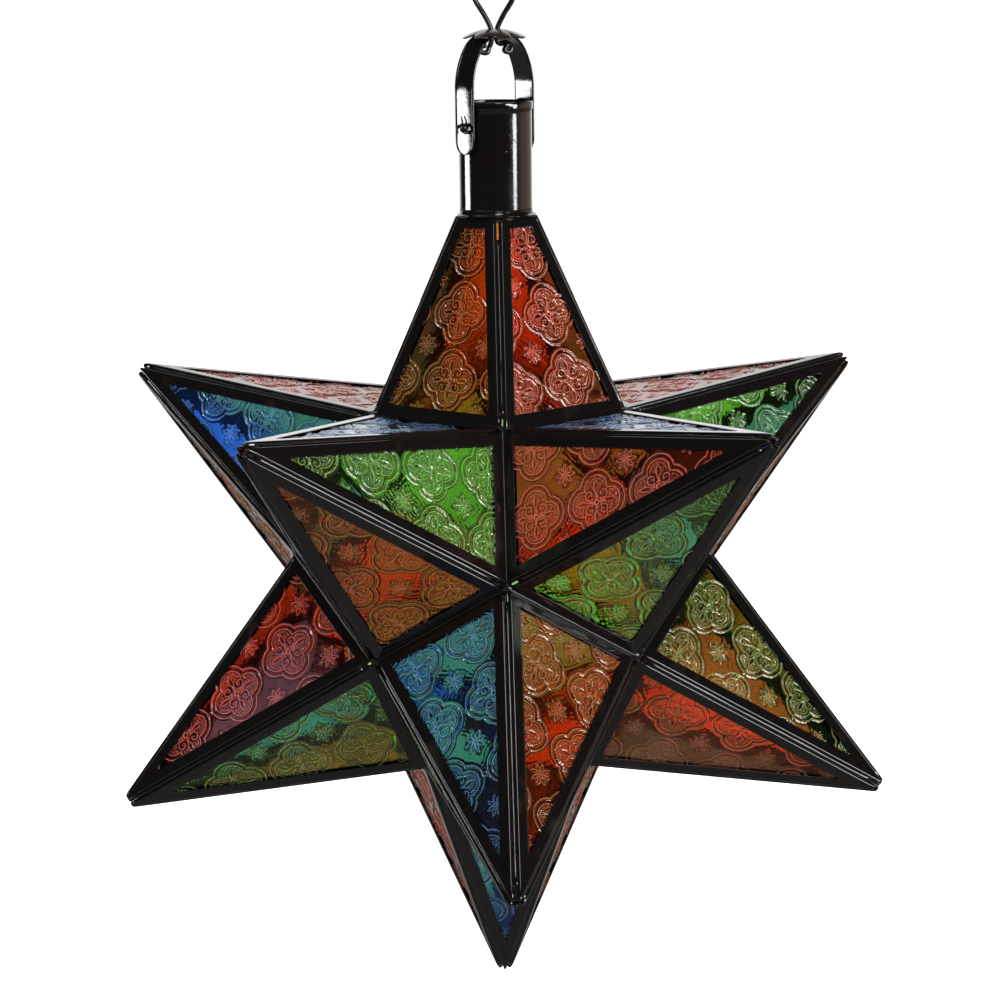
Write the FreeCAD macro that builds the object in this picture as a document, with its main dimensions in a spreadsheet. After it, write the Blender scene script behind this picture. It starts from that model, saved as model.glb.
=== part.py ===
import FreeCAD, Part
# Star-shaped hanging candle lantern: sixty glass panes, each in its own folded
# channel frame, make twelve hollow points around an open core.  A neck tube on
# the truncated top point carries a strap handle and a wire hanging eye.
# Z is up.  The origin is the centre of the bearing of the hanging eye.
import os
import math
import itertools
import Sketcher
from FreeCAD import Vector, Placement, Rotation, Matrix

doc = FreeCAD.newDocument("star_candle_lantern")

# ---------------------------------------------------------------- dimensions
star_tip = 204.5        # centre of the star to the ideal apex of a point
core_vertex = 98.2      # centre of the star to an inner corner of the core
cell = doc.addObject("Spreadsheet::Sheet", "Dims")

LAT = math.atan(0.5)
AZ = {"upper_front_right": (306, 1), "upper_right": (18, 1), "upper_back": (90, 1),
      "upper_left": (162, 1), "upper_front_left": (234, 1),
      "lower_front": (270, -1), "lower_right": (342, -1), "lower_back_right": (54, -1),
      "lower_back_left": (126, -1), "lower_left": (198, -1)}
TIPS = {"top": Vector(0, 0, 1), "bottom": Vector(0, 0, -1)}
for key, (az, side) in AZ.items():
    TIPS[key] = Vector(math.cos(LAT) * math.cos(math.radians(az)),
                       math.cos(LAT) * math.sin(math.radians(az)),
                       math.sin(LAT) * side)


def near(a, b):
    return a != b and TIPS[a].dot(TIPS[b]) > 0.4


VERTS = []
for a, b, c in itertools.combinations(TIPS, 3):
    if near(a, b) and near(b, c) and near(a, c):
        d = TIPS[a] + TIPS[b] + TIPS[c]
        d.normalize()
        VERTS.append(((a, b, c), d * core_vertex))

v_on_top = [v for k, v in VERTS if "top" in k]
base_z = v_on_top[0].z                                   # plane of a point's base
base_r = math.hypot(v_on_top[0].x, v_on_top[0].y)        # its corner radius
half_base = base_r * math.sin(math.radians(36))
base_in = base_r * math.cos(math.radians(36))
point_height = star_tip - base_z
slant = math.hypot(point_height, base_in)
side_angle = math.atan2(half_base, slant)                # side of a pane to its centre line
n_rad = point_height / slant
n_ax = base_in / slant
fold = math.acos(n_rad ** 2 * math.cos(math.radians(72)) + n_ax ** 2)   # turn over a ridge
valley_half = math.acos(math.sin(LAT)) / 2               # half the angle between two points
channel_depth = 2.8

dims = [
    ("star_tip", star_tip), ("core_vertex", core_vertex),
    ("pane_half_base", round(half_base, 5)), ("pane_slant", round(slant, 5)),
    ("side_cos", round(math.cos(side_angle), 7)),
    ("channel_depth", channel_depth), ("channel_flange", 5.0), ("sheet", 0.4),
    ("ridge_inset", round(channel_depth * math.tan(fold / 2) + 0.03, 5)),
    ("seam_gap", 0.06), ("door_gap", 0.4),
    ("tip_width", 1.0), ("neck_cut", round((162.9 - base_z) / n_rad, 5)),
    ("glass_thick", 1.9), ("glass_play", 0.15),
    ("seam_length", 118.0), ("seam_length_top", 78.0), ("seam_high", 1.5),
    ("seam_wide", round(1.5 * math.tan(fold / 2) - 0.05, 5)),
    ("tube_outer", 16.05), ("tube_wall", 0.5), ("tube_foot", 163.1), ("tube_rim", 212.0),
    ("hem_outer", 16.5), ("hem_high", 3.6),
    ("strap_mid", 17.45), ("strap_half", 0.5), ("strap_wide", 12.0), ("strap_foot", 189.5),
    ("strap_spring", 217.0), ("strap_side", 32.0), ("strap_crown", 14.94),
    ("pin_level", 201.5), ("pin_shank", 1.0), ("pin_hole", 1.07),
    ("eye_hole", 2.8), ("eye_wire", 1.15),
    ("washer_outer", 14.0), ("washer_thick", 0.8),
    ("cup_inner", 20.0), ("cup_wall", 0.6), ("cup_deep", 12.0), ("cup_seat", -74.1),
    ("bridge_wide", 14.0), ("bridge_thick", 1.0),
    ("knuckle", 1.3), ("knuckle_hole", 0.65), ("hinge_wire", 0.6), ("hinge_off", 2.0),
    ("eye_level", 276.75),
]
VAL = dict(dims)
for i, (alias, value) in enumerate(dims, start=1):
    cell.set("A%d" % i, alias)
    cell.set("B%d" % i, str(value))
    cell.setAlias("B%d" % i, alias)
doc.recompute()

LIFT = -VAL["eye_level"]
nodes = []


def plane_of(body, role):
    for f in body.Origin.OriginFeatures:
        if f.Role == role:
            return f
    raise ValueError(role)


def new_body(label, placement=None):
    body = doc.addObject("PartDesign::Body", label)
    body.Label = label
    body.AllowCompound = True
    p = placement if placement else Placement()
    body.Placement = Placement(Vector(p.Base.x, p.Base.y, p.Base.z + LIFT), p.Rotation)
    nodes.append(body)
    return body


def attach(sk, body, role, offset=None):
    sk.AttachmentSupport = [(plane_of(body, role), "")]
    sk.MapMode = "FlatFace"
    if offset is not None:
        sk.AttachmentOffset = offset


def coord(sk, geo, pos, xexp=None, yexp=None):
    if xexp is not None:
        k = sk.addConstraint(Sketcher.Constraint("DistanceX", -1, 1, geo, pos, 0.0 if xexp is None else xexp[0]))
        sk.setExpression("Constraints[%d]" % k, xexp[1])
    if yexp is not None:
        k = sk.addConstraint(Sketcher.Constraint("DistanceY", -1, 1, geo, pos, yexp[0]))
        sk.setExpression("Constraints[%d]" % k, yexp[1])


def calc(text):
    """Value of one of the expressions: numbers, sheet names, + - * / and brackets."""
    env = VAL
    code = text.replace("Dims.", "")
    pos = [0]
    toks = []
    i = 0
    while i < len(code):
        ch = code[i]
        if ch.isspace():
            i += 1
        elif ch in "+-*/()":
            toks.append(ch)
            i += 1
        else:
            j = i
            while j < len(code) and (code[j].isalnum() or code[j] in "_."):
                j += 1
            toks.append(code[i:j])
            i = j

    def factor():
        t = toks[pos[0]]
        pos[0] += 1
        if t == "(":
            v = expr()
            pos[0] += 1
            return v
        if t == "-":
            return -factor()
        return env[t] if t in env else float(t)

    def term():
        v = factor()
        while pos[0] < len(toks) and toks[pos[0]] in "*/":
            op = toks[pos[0]]
            pos[0] += 1
            w = factor()
            v = v * w if op == "*" else v / w
        return v

    def expr():
        v = term()
        while pos[0] < len(toks) and toks[pos[0]] in "+-":
            op = toks[pos[0]]
            pos[0] += 1
            w = term()
            v = v + w if op == "+" else v - w
        return v

    return float(expr())


def polygon(sk, pts):
    """Closed polygon; each point is a pair of expressions."""
    num = [(calc(x), calc(y)) for x, y in pts]
    first = sk.GeometryCount
    n = len(pts)
    for i in range(n):
        a, b = num[i], num[(i + 1) % n]
        sk.addGeometry(Part.LineSegment(Vector(a[0], a[1], 0), Vector(b[0], b[1], 0)), False)
    for i in range(n):
        sk.addConstraint(Sketcher.Constraint("Coincident", first + i, 2, first + (i + 1) % n, 1))
    for i in range(n):
        coord(sk, first + i, 1, (num[i][0], pts[i][0]), (num[i][1], pts[i][1]))


def half_width(y, inset):
    return "(Dims.pane_half_base*(1-(%s)/Dims.pane_slant)-(%s)/Dims.side_cos)" % (y, inset)


def trapezoid(y0, y1, inset):
    a, b = half_width(y0, inset), half_width(y1, inset)
    return [("-" + a, y0), (a, y0), (b, y1), ("-" + b, y1)]


def tip_y(inset, half_tip):
    # height on the pane at which the outline is 2 x half_tip wide
    return "(Dims.pane_slant*(1-((%s)/Dims.side_cos+(%s))/Dims.pane_half_base))" % (inset, half_tip)


def frame_matrix(origin, x, y, z):
    return Placement(Matrix(x.x, y.x, z.x, origin.x, x.y, y.y, z.y, origin.y,
                            x.z, y.z, z.z, origin.z, 0, 0, 0, 1))


def point_frame(name):
    """Placement of a point: local Z along the point, local X toward a base corner."""
    z = TIPS[name]
    v0 = [v for k, v in VERTS if name in k][0]
    x = v0 - z * v0.dot(z)
    x.normalize()
    y = z.cross(x)
    return frame_matrix(Vector(0, 0, 0), x, y, z)


def pane_local(k):
    """Placement of pane k in its point's frame: X along the base, Y to the apex."""
    m = math.radians(36 + 72 * k)
    r = Vector(math.cos(m), math.sin(m), 0)
    y = Vector(-r.x * n_ax, -r.y * n_ax, n_rad)
    z = Vector(r.x * n_rad, r.y * n_rad, n_ax)
    x = y.cross(z)
    return frame_matrix(Vector(r.x * base_in, r.y * base_in, base_z), x, y, z)


def pane_neighbour(name, k):
    n = point_frame(name).Rotation.multVec(pane_local(k).Rotation.multVec(Vector(0, 0, 1)))
    best = max((m for m in TIPS if near(name, m)), key=lambda m: n.dot(TIPS[m]))
    return best


def pad(body, sk, length_exp, reverse, mid=False, name="Pad"):
    p = body.newObject("PartDesign::Pad", name)
    p.Profile = sk
    p.Length = abs(calc(length_exp))
    p.setExpression("Length", length_exp)
    p.Reversed = reverse
    p.Midplane = mid
    sk.Visibility = False
    return p


def pocket(body, sk, length_exp, reverse=False, mid=False, name="Pocket"):
    p = body.newObject("PartDesign::Pocket", name)
    p.Profile = sk
    p.Length = abs(calc(length_exp))
    p.setExpression("Length", length_exp)
    p.Reversed = reverse
    p.Midplane = mid
    sk.Visibility = False
    return p


def polar(body, originals, count, name="Polar"):
    p = body.newObject("PartDesign::PolarPattern", name)
    p.Originals = originals
    p.Axis = (plane_of(body, "Z_Axis"), [""])
    p.Angle = 360
    p.Occurrences = count
    body.Tip = p
    return p


# ------------------------------------------------- channel frames and solder
GAP = {}
for name in TIPS:
    gap = "Dims.door_gap" if name == "upper_back" else "Dims.seam_gap"
    top = "Dims.neck_cut" if name == "top" else tip_y("Dims.ridge_inset", "Dims.tip_width/2")
    inset = "Dims.ridge_inset"
    body = new_body("frames_" + name, point_frame(name))
    off = pane_local(0)
    sk = body.newObject("Sketcher::SketchObject", "Outline")
    attach(sk, body, "XY_Plane", off)
    polygon(sk, trapezoid(gap, top, inset))
    y0 = gap + "+Dims.channel_flange"
    if name == "top":
        y1 = top + "-Dims.channel_flange"
    else:
        y1 = tip_y(inset + "+Dims.channel_flange", "0.6")
    polygon(sk, trapezoid(y0, y1, inset + "+Dims.channel_flange"))
    ring = pad(body, sk, "Dims.channel_depth", True, name="Channel")
    off2 = pane_local(0).multiply(Placement(Vector(0, 0, -VAL["sheet"]), Rotation()))
    sk2 = body.newObject("Sketcher::SketchObject", "Slot")
    attach(sk2, body, "XY_Plane", off2)
    tip2 = top + "-Dims.sheet" if name == "top" else tip_y(inset + "+Dims.sheet", "Dims.tip_width/2")
    polygon(sk2, trapezoid(gap + "+Dims.sheet", tip2, inset + "+Dims.sheet"))
    slot = pocket(body, sk2, "Dims.channel_depth-2*Dims.sheet", name="GlassSlot")
    polar(body, [ring, slot], 5)

    # solder run in the groove of each ridge
    body = new_body("solder_" + name, point_frame(name))
    corner = Vector(base_r, 0, base_z)
    along = Vector(-base_r, 0, point_height)
    along.normalize()
    out = Vector(along.z, 0, -along.x)
    side = out.cross(along)
    # local X = side, local Y = out, local Z = along
    start = corner + along * 7.0 - out * (channel_depth / math.cos(fold / 2) - 0.06)
    z_ax = side.cross(out)
    L = frame_matrix(start, side, out, z_ax)
    sk = body.newObject("Sketcher::SketchObject", "Seam")
    attach(sk, body, "XY_Plane", L)
    polygon(sk, [("0", "0"), ("Dims.seam_wide", "Dims.seam_high"), ("-Dims.seam_wide", "Dims.seam_high")])
    seam = pad(body, sk, "Dims.seam_length_top" if name == "top" else "Dims.seam_length",
               z_ax.dot(along) < 0, name="SolderRun")
    polar(body, [seam], 5)

# -------------------------------------------------------------- glass panes
# colour of each pane: point -> neighbour that the pane faces -> colour
COL = {
    "top": {"upper_front_left": "amber", "upper_front_right": "red", "upper_right": "green",
            "upper_back": "amber", "upper_left": "blue"},
    "bottom": {"lower_front": "blue", "lower_right": "amber", "lower_back_right": "red",
               "lower_back_left": "green", "lower_left": "red"},
    "upper_front_right": {"upper_front_left": "red", "lower_front": "green", "top": "blue",
                          "upper_right": "amber", "lower_right": "blue"},
    "upper_front_left": {"upper_front_right": "green", "lower_front": "amber", "top": "blue",
                         "upper_left": "red", "lower_left": "blue"},
    "lower_front": {"upper_front_right": "amber", "upper_front_left": "blue", "bottom": "red",
                    "lower_right": "green", "lower_left": "green"},
    "lower_left": {"upper_front_left": "red", "lower_front": "green", "bottom": "amber",
                   "lower_back_left": "blue", "upper_left": "amber"},
    "lower_right": {"upper_front_right": "green", "lower_front": "amber", "bottom": "blue",
                    "lower_back_right": "red", "upper_right": "amber"},
    "upper_left": {"upper_front_left": "blue", "upper_back": "green", "top": "red",
                   "lower_back_left": "blue", "lower_left": "amber"},
    "upper_right": {"upper_front_right": "green", "upper_back": "green", "top": "red",
                    "lower_back_right": "blue", "lower_right": "amber"},
    "upper_back": {"lower_back_right": "green", "lower_back_left": "green", "top": "blue",
                   "upper_right": "red", "upper_left": "amber"},
    "lower_back_right": {"upper_back": "amber", "lower_back_left": "green", "bottom": "red",
                         "upper_right": "blue", "lower_right": "red"},
    "lower_back_left": {"upper_back": "amber", "lower_back_right": "green", "bottom": "blue",
                        "lower_left": "red", "upper_left": "red"},
}


def tier(name):
    if name == "upper_back":
        return "door"
    return name.split("_")[0]


glass = {}
for name in TIPS:
    for k in range(5):
        nb = pane_neighbour(name, k)
        glass.setdefault((tier(name), COL[name][nb]), []).append((name, k))
for (tr, colour), panes in sorted(glass.items()):
    body = new_body("glass_%s_%s" % (tr, colour))
    for j, (name, k) in enumerate(panes):
        P = point_frame(name).multiply(pane_local(k)).multiply(
            Placement(Vector(0, 0, -VAL["sheet"] - 0.05), Rotation()))
        gap = "Dims.door_gap" if name == "upper_back" else "Dims.seam_gap"
        edge = "Dims.sheet+Dims.glass_play"
        if name == "top":
            y1 = "Dims.neck_cut-Dims.sheet-Dims.glass_play"
        else:
            y1 = tip_y("Dims.ridge_inset+" + edge, "Dims.tip_width/2")
        sk = body.newObject("Sketcher::SketchObject", "Pane%d" % j)
        attach(sk, body, "XY_Plane", P)
        polygon(sk, trapezoid(gap + "+" + edge, y1, "Dims.ridge_inset+" + edge))
        g = pad(body, sk, "Dims.glass_thick", True, name="Glass%d" % j)
    body.Tip = g

# ------------------------------------------------------------------ neck tube
PIN_DIR = 40.0
handle_turn = Rotation(Vector(0, 0, 1), PIN_DIR)
body = new_body("neck_tube", Placement(Vector(0, 0, 0), handle_turn))
sk = body.newObject("Sketcher::SketchObject", "Profile")
attach(sk, body, "XZ_Plane")
polygon(sk, [("Dims.tube_outer-Dims.tube_wall", "Dims.tube_foot"), ("Dims.tube_outer", "Dims.tube_foot"),
             ("Dims.tube_outer", "Dims.tube_rim-Dims.hem_high"), ("Dims.hem_outer", "Dims.tube_rim-Dims.hem_high"),
             ("Dims.hem_outer", "Dims.tube_rim"), ("Dims.tube_outer-Dims.tube_wall", "Dims.tube_rim")])
rev = body.newObject("PartDesign::Revolution", "Tube")
rev.Profile = sk
rev.ReferenceAxis = (sk, ["V_Axis"])
rev.Angle = 360
sk.Visibility = False
sk = body.newObject("Sketcher::SketchObject", "PinHoles")
attach(sk, body, "YZ_Plane")
c = sk.addGeometry(Part.Circle(Vector(0, VAL["pin_level"], 0), Vector(0, 0, 1), VAL["pin_shank"] + 0.02), False)
coord(sk, c, 3, (0.0, "0"), (VAL["pin_level"], "Dims.pin_level"))
k = sk.addConstraint(Sketcher.Constraint("Radius", c, VAL["pin_shank"] + 0.02))
sk.setExpression("Constraints[%d]" % k, "Dims.pin_shank+0.02")
holes = pocket(body, sk, "Dims.tube_outer*4", mid=True, name="PinBores")
body.Tip = holes

# solder fillet that joins the tube to the cut top point
body = new_body("solder_neck")
sk = body.newObject("Sketcher::SketchObject", "Profile")
attach(sk, body, "XZ_Plane")
polygon(sk, [("Dims.tube_outer+0.05", "Dims.tube_foot"), ("Dims.tube_outer+2.2", "Dims.tube_foot"),
             ("Dims.tube_outer+0.05", "Dims.tube_foot+2.6")])
rev = body.newObject("PartDesign::Revolution", "Fillet")
rev.Profile = sk
rev.ReferenceAxis = (sk, ["V_Axis"])
rev.Angle = 360
sk.Visibility = False
body.Tip = rev

# --------------------------------------------------------------- strap handle
body = new_body("handle_strap", Placement(Vector(0, 0, 0), handle_turn))
a, hs, z0, z1 = VAL["strap_mid"], VAL["strap_half"], VAL["strap_foot"], VAL["strap_spring"]
rs, rc = VAL["strap_side"], VAL["strap_crown"]
cx = a - rs
dz = math.sqrt((rs - rc) ** 2 - cx ** 2)
zc = z1 + dz
phi = math.atan2(dz, -cx)
sk = body.newObject("Sketcher::SketchObject", "Side")
attach(sk, body, "XZ_Plane")


def leg(x):
    return Part.LineSegment(Vector(x, z0, 0), Vector(x, z1, 0))


def arc(cx0, cz0, r, a0, a1):
    return Part.ArcOfCircle(Part.Circle(Vector(cx0, cz0, 0), Vector(0, 0, 1), r), a0, a1)


for s, sgn in (("out", 1), ("in", -1)):
    off = hs * sgn
    b = sk.GeometryCount
    sk.addGeometry(leg(a + off), False)                                   # b   right leg
    sk.addGeometry(arc(cx, z1, rs + off, 0, phi), False)                  # b+1 right side
    sk.addGeometry(arc(0, zc, rc + off, phi, math.pi - phi), False)       # b+2 crown
    sk.addGeometry(arc(-cx, z1, rs + off, math.pi - phi, math.pi), False)  # b+3 left side
    sk.addGeometry(leg(-a - off), False)                                  # b+4 left leg
    sk.addConstraint(Sketcher.Constraint("Coincident", b, 2, b + 1, 1))
    sk.addConstraint(Sketcher.Constraint("Tangent", b + 1, 2, b + 2, 1))
    sk.addConstraint(Sketcher.Constraint("Coincident", b + 2, 2, b + 3, 1))
    sk.addConstraint(Sketcher.Constraint("Coincident", b + 3, 2, b + 4, 2))
    sg = "+" if sgn > 0 else "-"
    for g, x in ((b, "Dims.strap_mid%sDims.strap_half" % sg), (b + 4, "-(Dims.strap_mid%sDims.strap_half)" % sg)):
        coord(sk, g, 1, (calc(x), x), (z0, "Dims.strap_foot"))
        coord(sk, g, 2, (calc(x), x), (z1, "Dims.strap_spring"))
    coord(sk, b + 1, 3, (cx, "Dims.strap_mid-Dims.strap_side"), (z1, "Dims.strap_spring"))
    coord(sk, b + 3, 3, (-cx, "Dims.strap_side-Dims.strap_mid"), (z1, "Dims.strap_spring"))
    k = sk.addConstraint(Sketcher.Constraint("Radius", b + 2, rc + off))
    sk.setExpression("Constraints[%d]" % k, "Dims.strap_crown%sDims.strap_half" % sg)
for x0, x1 in ((a - hs, a + hs), (-a - hs, -a + hs)):
    sk.addGeometry(Part.LineSegment(Vector(x0, z0, 0), Vector(x1, z0, 0)), False)
e = sk.GeometryCount - 2
sk.addConstraint(Sketcher.Constraint("Coincident", e, 1, 5, 1))
sk.addConstraint(Sketcher.Constraint("Coincident", e, 2, 0, 1))
sk.addConstraint(Sketcher.Constraint("Coincident", e + 1, 1, 4, 1))
sk.addConstraint(Sketcher.Constraint("Coincident", e + 1, 2, 9, 1))
strap = pad(body, sk, "Dims.strap_wide", False, mid=True, name="Strap")
sk = body.newObject("Sketcher::SketchObject", "PivotHoles")
attach(sk, body, "YZ_Plane")
c = sk.addGeometry(Part.Circle(Vector(0, VAL["pin_level"], 0), Vector(0, 0, 1), VAL["pin_hole"]), False)
coord(sk, c, 3, (0.0, "0"), (VAL["pin_level"], "Dims.pin_level"))
k = sk.addConstraint(Sketcher.Constraint("Radius", c, VAL["pin_hole"]))
sk.setExpression("Constraints[%d]" % k, "Dims.pin_hole")
h1 = pocket(body, sk, "Dims.strap_mid*4", mid=True, name="PivotBores")
sk = body.newObject("Sketcher::SketchObject", "EyeHole")
attach(sk, body, "XY_Plane", Placement(Vector(0, 0, 250), Rotation()))
c = sk.addGeometry(Part.Circle(Vector(0, 0, 0), Vector(0, 0, 1), VAL["eye_hole"]), False)
sk.addConstraint(Sketcher.Constraint("Coincident", c, 3, -1, 1))
k = sk.addConstraint(Sketcher.Constraint("Radius", c, VAL["eye_hole"]))
sk.setExpression("Constraints[%d]" % k, "Dims.eye_hole")
h2 = pocket(body, sk, "Dims.strap_side", name="EyeBore")
doc.recompute()
ends = []
for i, ed in enumerate(h2.Shape.Edges):
    bb = ed.BoundBox
    if bb.ZMax - bb.ZMin < 1e-6 and abs(bb.ZMin - z0) < 1e-6 and bb.YMax - bb.YMin < 1e-6:
        ends.append("Edge%d" % (i + 1))
fl = body.newObject("PartDesign::Fillet", "RoundedEnds")
fl.Base = (h2, ends)
fl.Radius = 5.6
fl.setExpression("Radius", "Dims.strap_wide/2-0.4")
body.Tip = fl


# ------------------------------------------------ primitive helpers (Part WB)
def cyl(name, radius, height, placement):
    o = doc.addObject("Part::Cylinder", name)
    o.Radius = calc(radius)
    o.Height = calc(height)
    o.setExpression("Radius", radius)
    o.setExpression("Height", height)
    o.Placement = Placement(Vector(placement.Base.x, placement.Base.y, placement.Base.z + LIFT), placement.Rotation)
    return o


def along_dir(base, direction):
    return Placement(base, Rotation(Vector(0, 0, 1), direction))


def fuse(label, parts):
    f = doc.addObject("Part::MultiFuse", label)
    f.Shapes = parts
    f.Label = label
    return f


# split pins: shank through tube and strap, head inside, two splayed tails
pin_ax = handle_turn.multVec(Vector(1, 0, 0))
pin_no = handle_turn.multVec(Vector(0, 1, 0))
up = Vector(0, 0, 1)
for label, s in (("split_pin_right", 1), ("split_pin_left", -1)):
    u = pin_ax * s
    o0 = Vector(0, 0, VAL["pin_level"])
    shank = cyl(label + "_shank", "Dims.pin_shank", "4.2", along_dir(o0 + u * 14.6, u))
    head = cyl(label + "_head", "Dims.pin_shank*2", "0.9", along_dir(o0 + u * 14.2, u))
    tails = []
    for j, sg in enumerate((1, -1)):
        d = u * 0.42 + pin_no * (sg * 0.75) + up * (0.25 * sg)
        d.normalize()
        tails.append(cyl(label + "_tail%d" % j, "Dims.pin_shank*0.55", "4.6",
                         along_dir(o0 + u * 18.45 + pin_no * (sg * 0.35), d)))
    f = fuse(label, [shank, head] + tails)
    nodes.append(f)

# flower washer: domed disc with eight petals
body = new_body("flower_washer", Placement(Vector(0, 0, 0), handle_turn))
sk = body.newObject("Sketcher::SketchObject", "Dome")
attach(sk, body, "XZ_Plane")
R_in, R_out, dome_c = 26.0, 26.8, 216.09
r0, r1 = VAL["eye_hole"], VAL["washer_outer"]


def on(rad, x):
    return Vector(x, dome_c + math.sqrt(rad * rad - x * x), 0)


p0, p1, p2, p3 = on(R_in, r0), on(R_in, r1), on(R_out, r1), on(R_out, r0)
sk.addGeometry(arc(0, dome_c, R_in, math.atan2(p1.y - dome_c, p1.x), math.atan2(p0.y - dome_c, p0.x)), False)
sk.addGeometry(Part.LineSegment(p1, p2), False)
sk.addGeometry(arc(0, dome_c, R_out, math.atan2(p2.y - dome_c, p2.x), math.atan2(p3.y - dome_c, p3.x)), False)
sk.addGeometry(Part.LineSegment(p3, p0), False)
sk.addConstraint(Sketcher.Constraint("Coincident", 0, 1, 1, 1))
sk.addConstraint(Sketcher.Constraint("Coincident", 1, 2, 2, 1))
sk.addConstraint(Sketcher.Constraint("Coincident", 2, 2, 3, 1))
sk.addConstraint(Sketcher.Constraint("Coincident", 3, 2, 0, 2))
sk.addConstraint(Sketcher.Constraint("Coincident", 0, 3, 2, 3))
coord(sk, 0, 3, (0.0, "0"), (dome_c, str(dome_c)))
for g, ps, x in ((0, 1, "Dims.washer_outer"), (2, 1, "Dims.washer_outer"), (0, 2, "Dims.eye_hole"), (2, 2, "Dims.eye_hole")):
    coord(sk, g, ps, (calc(x), x), None)
k = sk.addConstraint(Sketcher.Constraint("Radius", 0, R_in))
k = sk.addConstraint(Sketcher.Constraint("Radius", 2, R_out))
sk.setExpression("Constraints[%d]" % k, "%s+Dims.washer_thick" % R_in)
rev = body.newObject("PartDesign::Revolution", "Dish")
rev.Profile = sk
rev.ReferenceAxis = (sk, ["V_Axis"])
rev.Angle = 360
sk.Visibility = False
sk = body.newObject("Sketcher::SketchObject", "Notch")
attach(sk, body, "XY_Plane", Placement(Vector(0, 0, 250), Rotation()))
polygon(sk, [("Dims.washer_outer*0.66", "0"), ("Dims.washer_outer*1.1", "-1.9"), ("Dims.washer_outer*1.1", "1.9")])
nt = pocket(body, sk, "30", name="PetalNotch")
polar(body, [nt], 8)

# ---------------------------------------------------------- wire hanging eye
body = new_body("hanging_eye")
half = [(6.0, 235.3), (4.3, 233.9), (2.2, 234.6), (1.25, 237.6), (1.25, 241.5), (1.9, 244.2),
        (4.4, 249.0), (7.9, 254.7), (10.0, 261.0), (9.7, 268.0), (6.6, 274.6), (0.0, 277.9)]
pts = [Vector(-x, z, 0) for x, z in half] + [Vector(x, z, 0) for x, z in reversed(half[:-1])]
path = body.newObject("Sketcher::SketchObject", "WirePath")
attach(path, body, "XZ_Plane")
bs = Part.BSplineCurve()
t0 = pts[1] - pts[0]
t0.normalize()
tn = pts[-1] - pts[-2]
tn.normalize()
bs.interpolate(pts)
path.addGeometry(bs, False)
prof = body.newObject("Sketcher::SketchObject", "WireSection")
d0 = bs.tangent(bs.FirstParameter)[0]
dir3 = Vector(d0.x, 0, d0.y)
start3 = Vector(pts[0].x, 0, pts[0].y)
attach(prof, body, "XY_Plane", Placement(start3, Rotation(Vector(0, 0, 1), dir3)))
c = prof.addGeometry(Part.Circle(Vector(0, 0, 0), Vector(0, 0, 1), VAL["eye_wire"]), False)
prof.addConstraint(Sketcher.Constraint("Coincident", c, 3, -1, 1))
k = prof.addConstraint(Sketcher.Constraint("Radius", c, VAL["eye_wire"]))
prof.setExpression("Constraints[%d]" % k, "Dims.eye_wire")
wire = body.newObject("PartDesign::AdditivePipe", "Wire")
wire.Profile = prof
wire.Spine = (path, ["Edge1"])
prof.Visibility = False
path.Visibility = False
body.Tip = wire

# ------------------------------------------------- candle cup on its bridge
body = new_body("cup_bridge")
sk = body.newObject("Sketcher::SketchObject", "Strip")
attach(sk, body, "XY_Plane", Placement(Vector(0, 0, VAL["cup_seat"] - VAL["bridge_thick"] - 0.02), Rotation()))
polygon(sk, [("-Dims.bridge_wide/2", "-53.5"), ("Dims.bridge_wide/2", "-53.5"),
             ("Dims.bridge_wide/2", "55.5"), ("-Dims.bridge_wide/2", "55.5")])
st = pad(body, sk, "Dims.bridge_thick", False, name="Bridge")
body.Tip = st

body = new_body("candle_cup")
sk = body.newObject("Sketcher::SketchObject", "Section")
attach(sk, body, "XZ_Plane")
fl0 = "Dims.cup_seat"
polygon(sk, [("0", fl0), ("Dims.cup_inner+Dims.cup_wall", fl0),
             ("Dims.cup_inner+Dims.cup_wall", fl0 + "+Dims.cup_deep-Dims.cup_wall"),
             ("Dims.cup_inner+3*Dims.cup_wall", fl0 + "+Dims.cup_deep-Dims.cup_wall"),
             ("Dims.cup_inner+3*Dims.cup_wall", fl0 + "+Dims.cup_deep"),
             ("Dims.cup_inner", fl0 + "+Dims.cup_deep"),
             ("Dims.cup_inner", fl0 + "+Dims.cup_wall"),
             ("0", fl0 + "+Dims.cup_wall")])
rev = body.newObject("PartDesign::Revolution", "Cup")
rev.Profile = sk
rev.ReferenceAxis = (sk, ["V_Axis"])
rev.Angle = 360
sk.Visibility = False
body.Tip = rev

# ----------------------------------------------------- door hinge and stops
def valley(a, b):
    """Frame of the valley between points a and b: X toward a, Y outward, Z along."""
    vs = [v for kk, v in VERTS if a in kk and b in kk]
    mid = (vs[0] + vs[1]) * 0.5
    x = TIPS[a] - TIPS[b]
    x.normalize()
    y = TIPS[a] + TIPS[b]
    y.normalize()
    z = x.cross(y)
    return frame_matrix(mid, x, y, z), (vs[0] - vs[1]).Length


V, vlen = valley("upper_back", "upper_right")
# half angle between the faces, measured from the outward bisector
na = point_frame("upper_back").Rotation
face_half = None
for k in range(5):
    if pane_neighbour("upper_back", k) == "upper_right":
        yv = point_frame("upper_back").multiply(pane_local(k)).Rotation.multVec(Vector(0, 1, 0))
        loc = V.Rotation.inverted().multVec(yv)
        face_half = math.atan2(abs(loc.x), loc.y)
off = VAL["hinge_off"]
kn = VAL["knuckle"]


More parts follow.
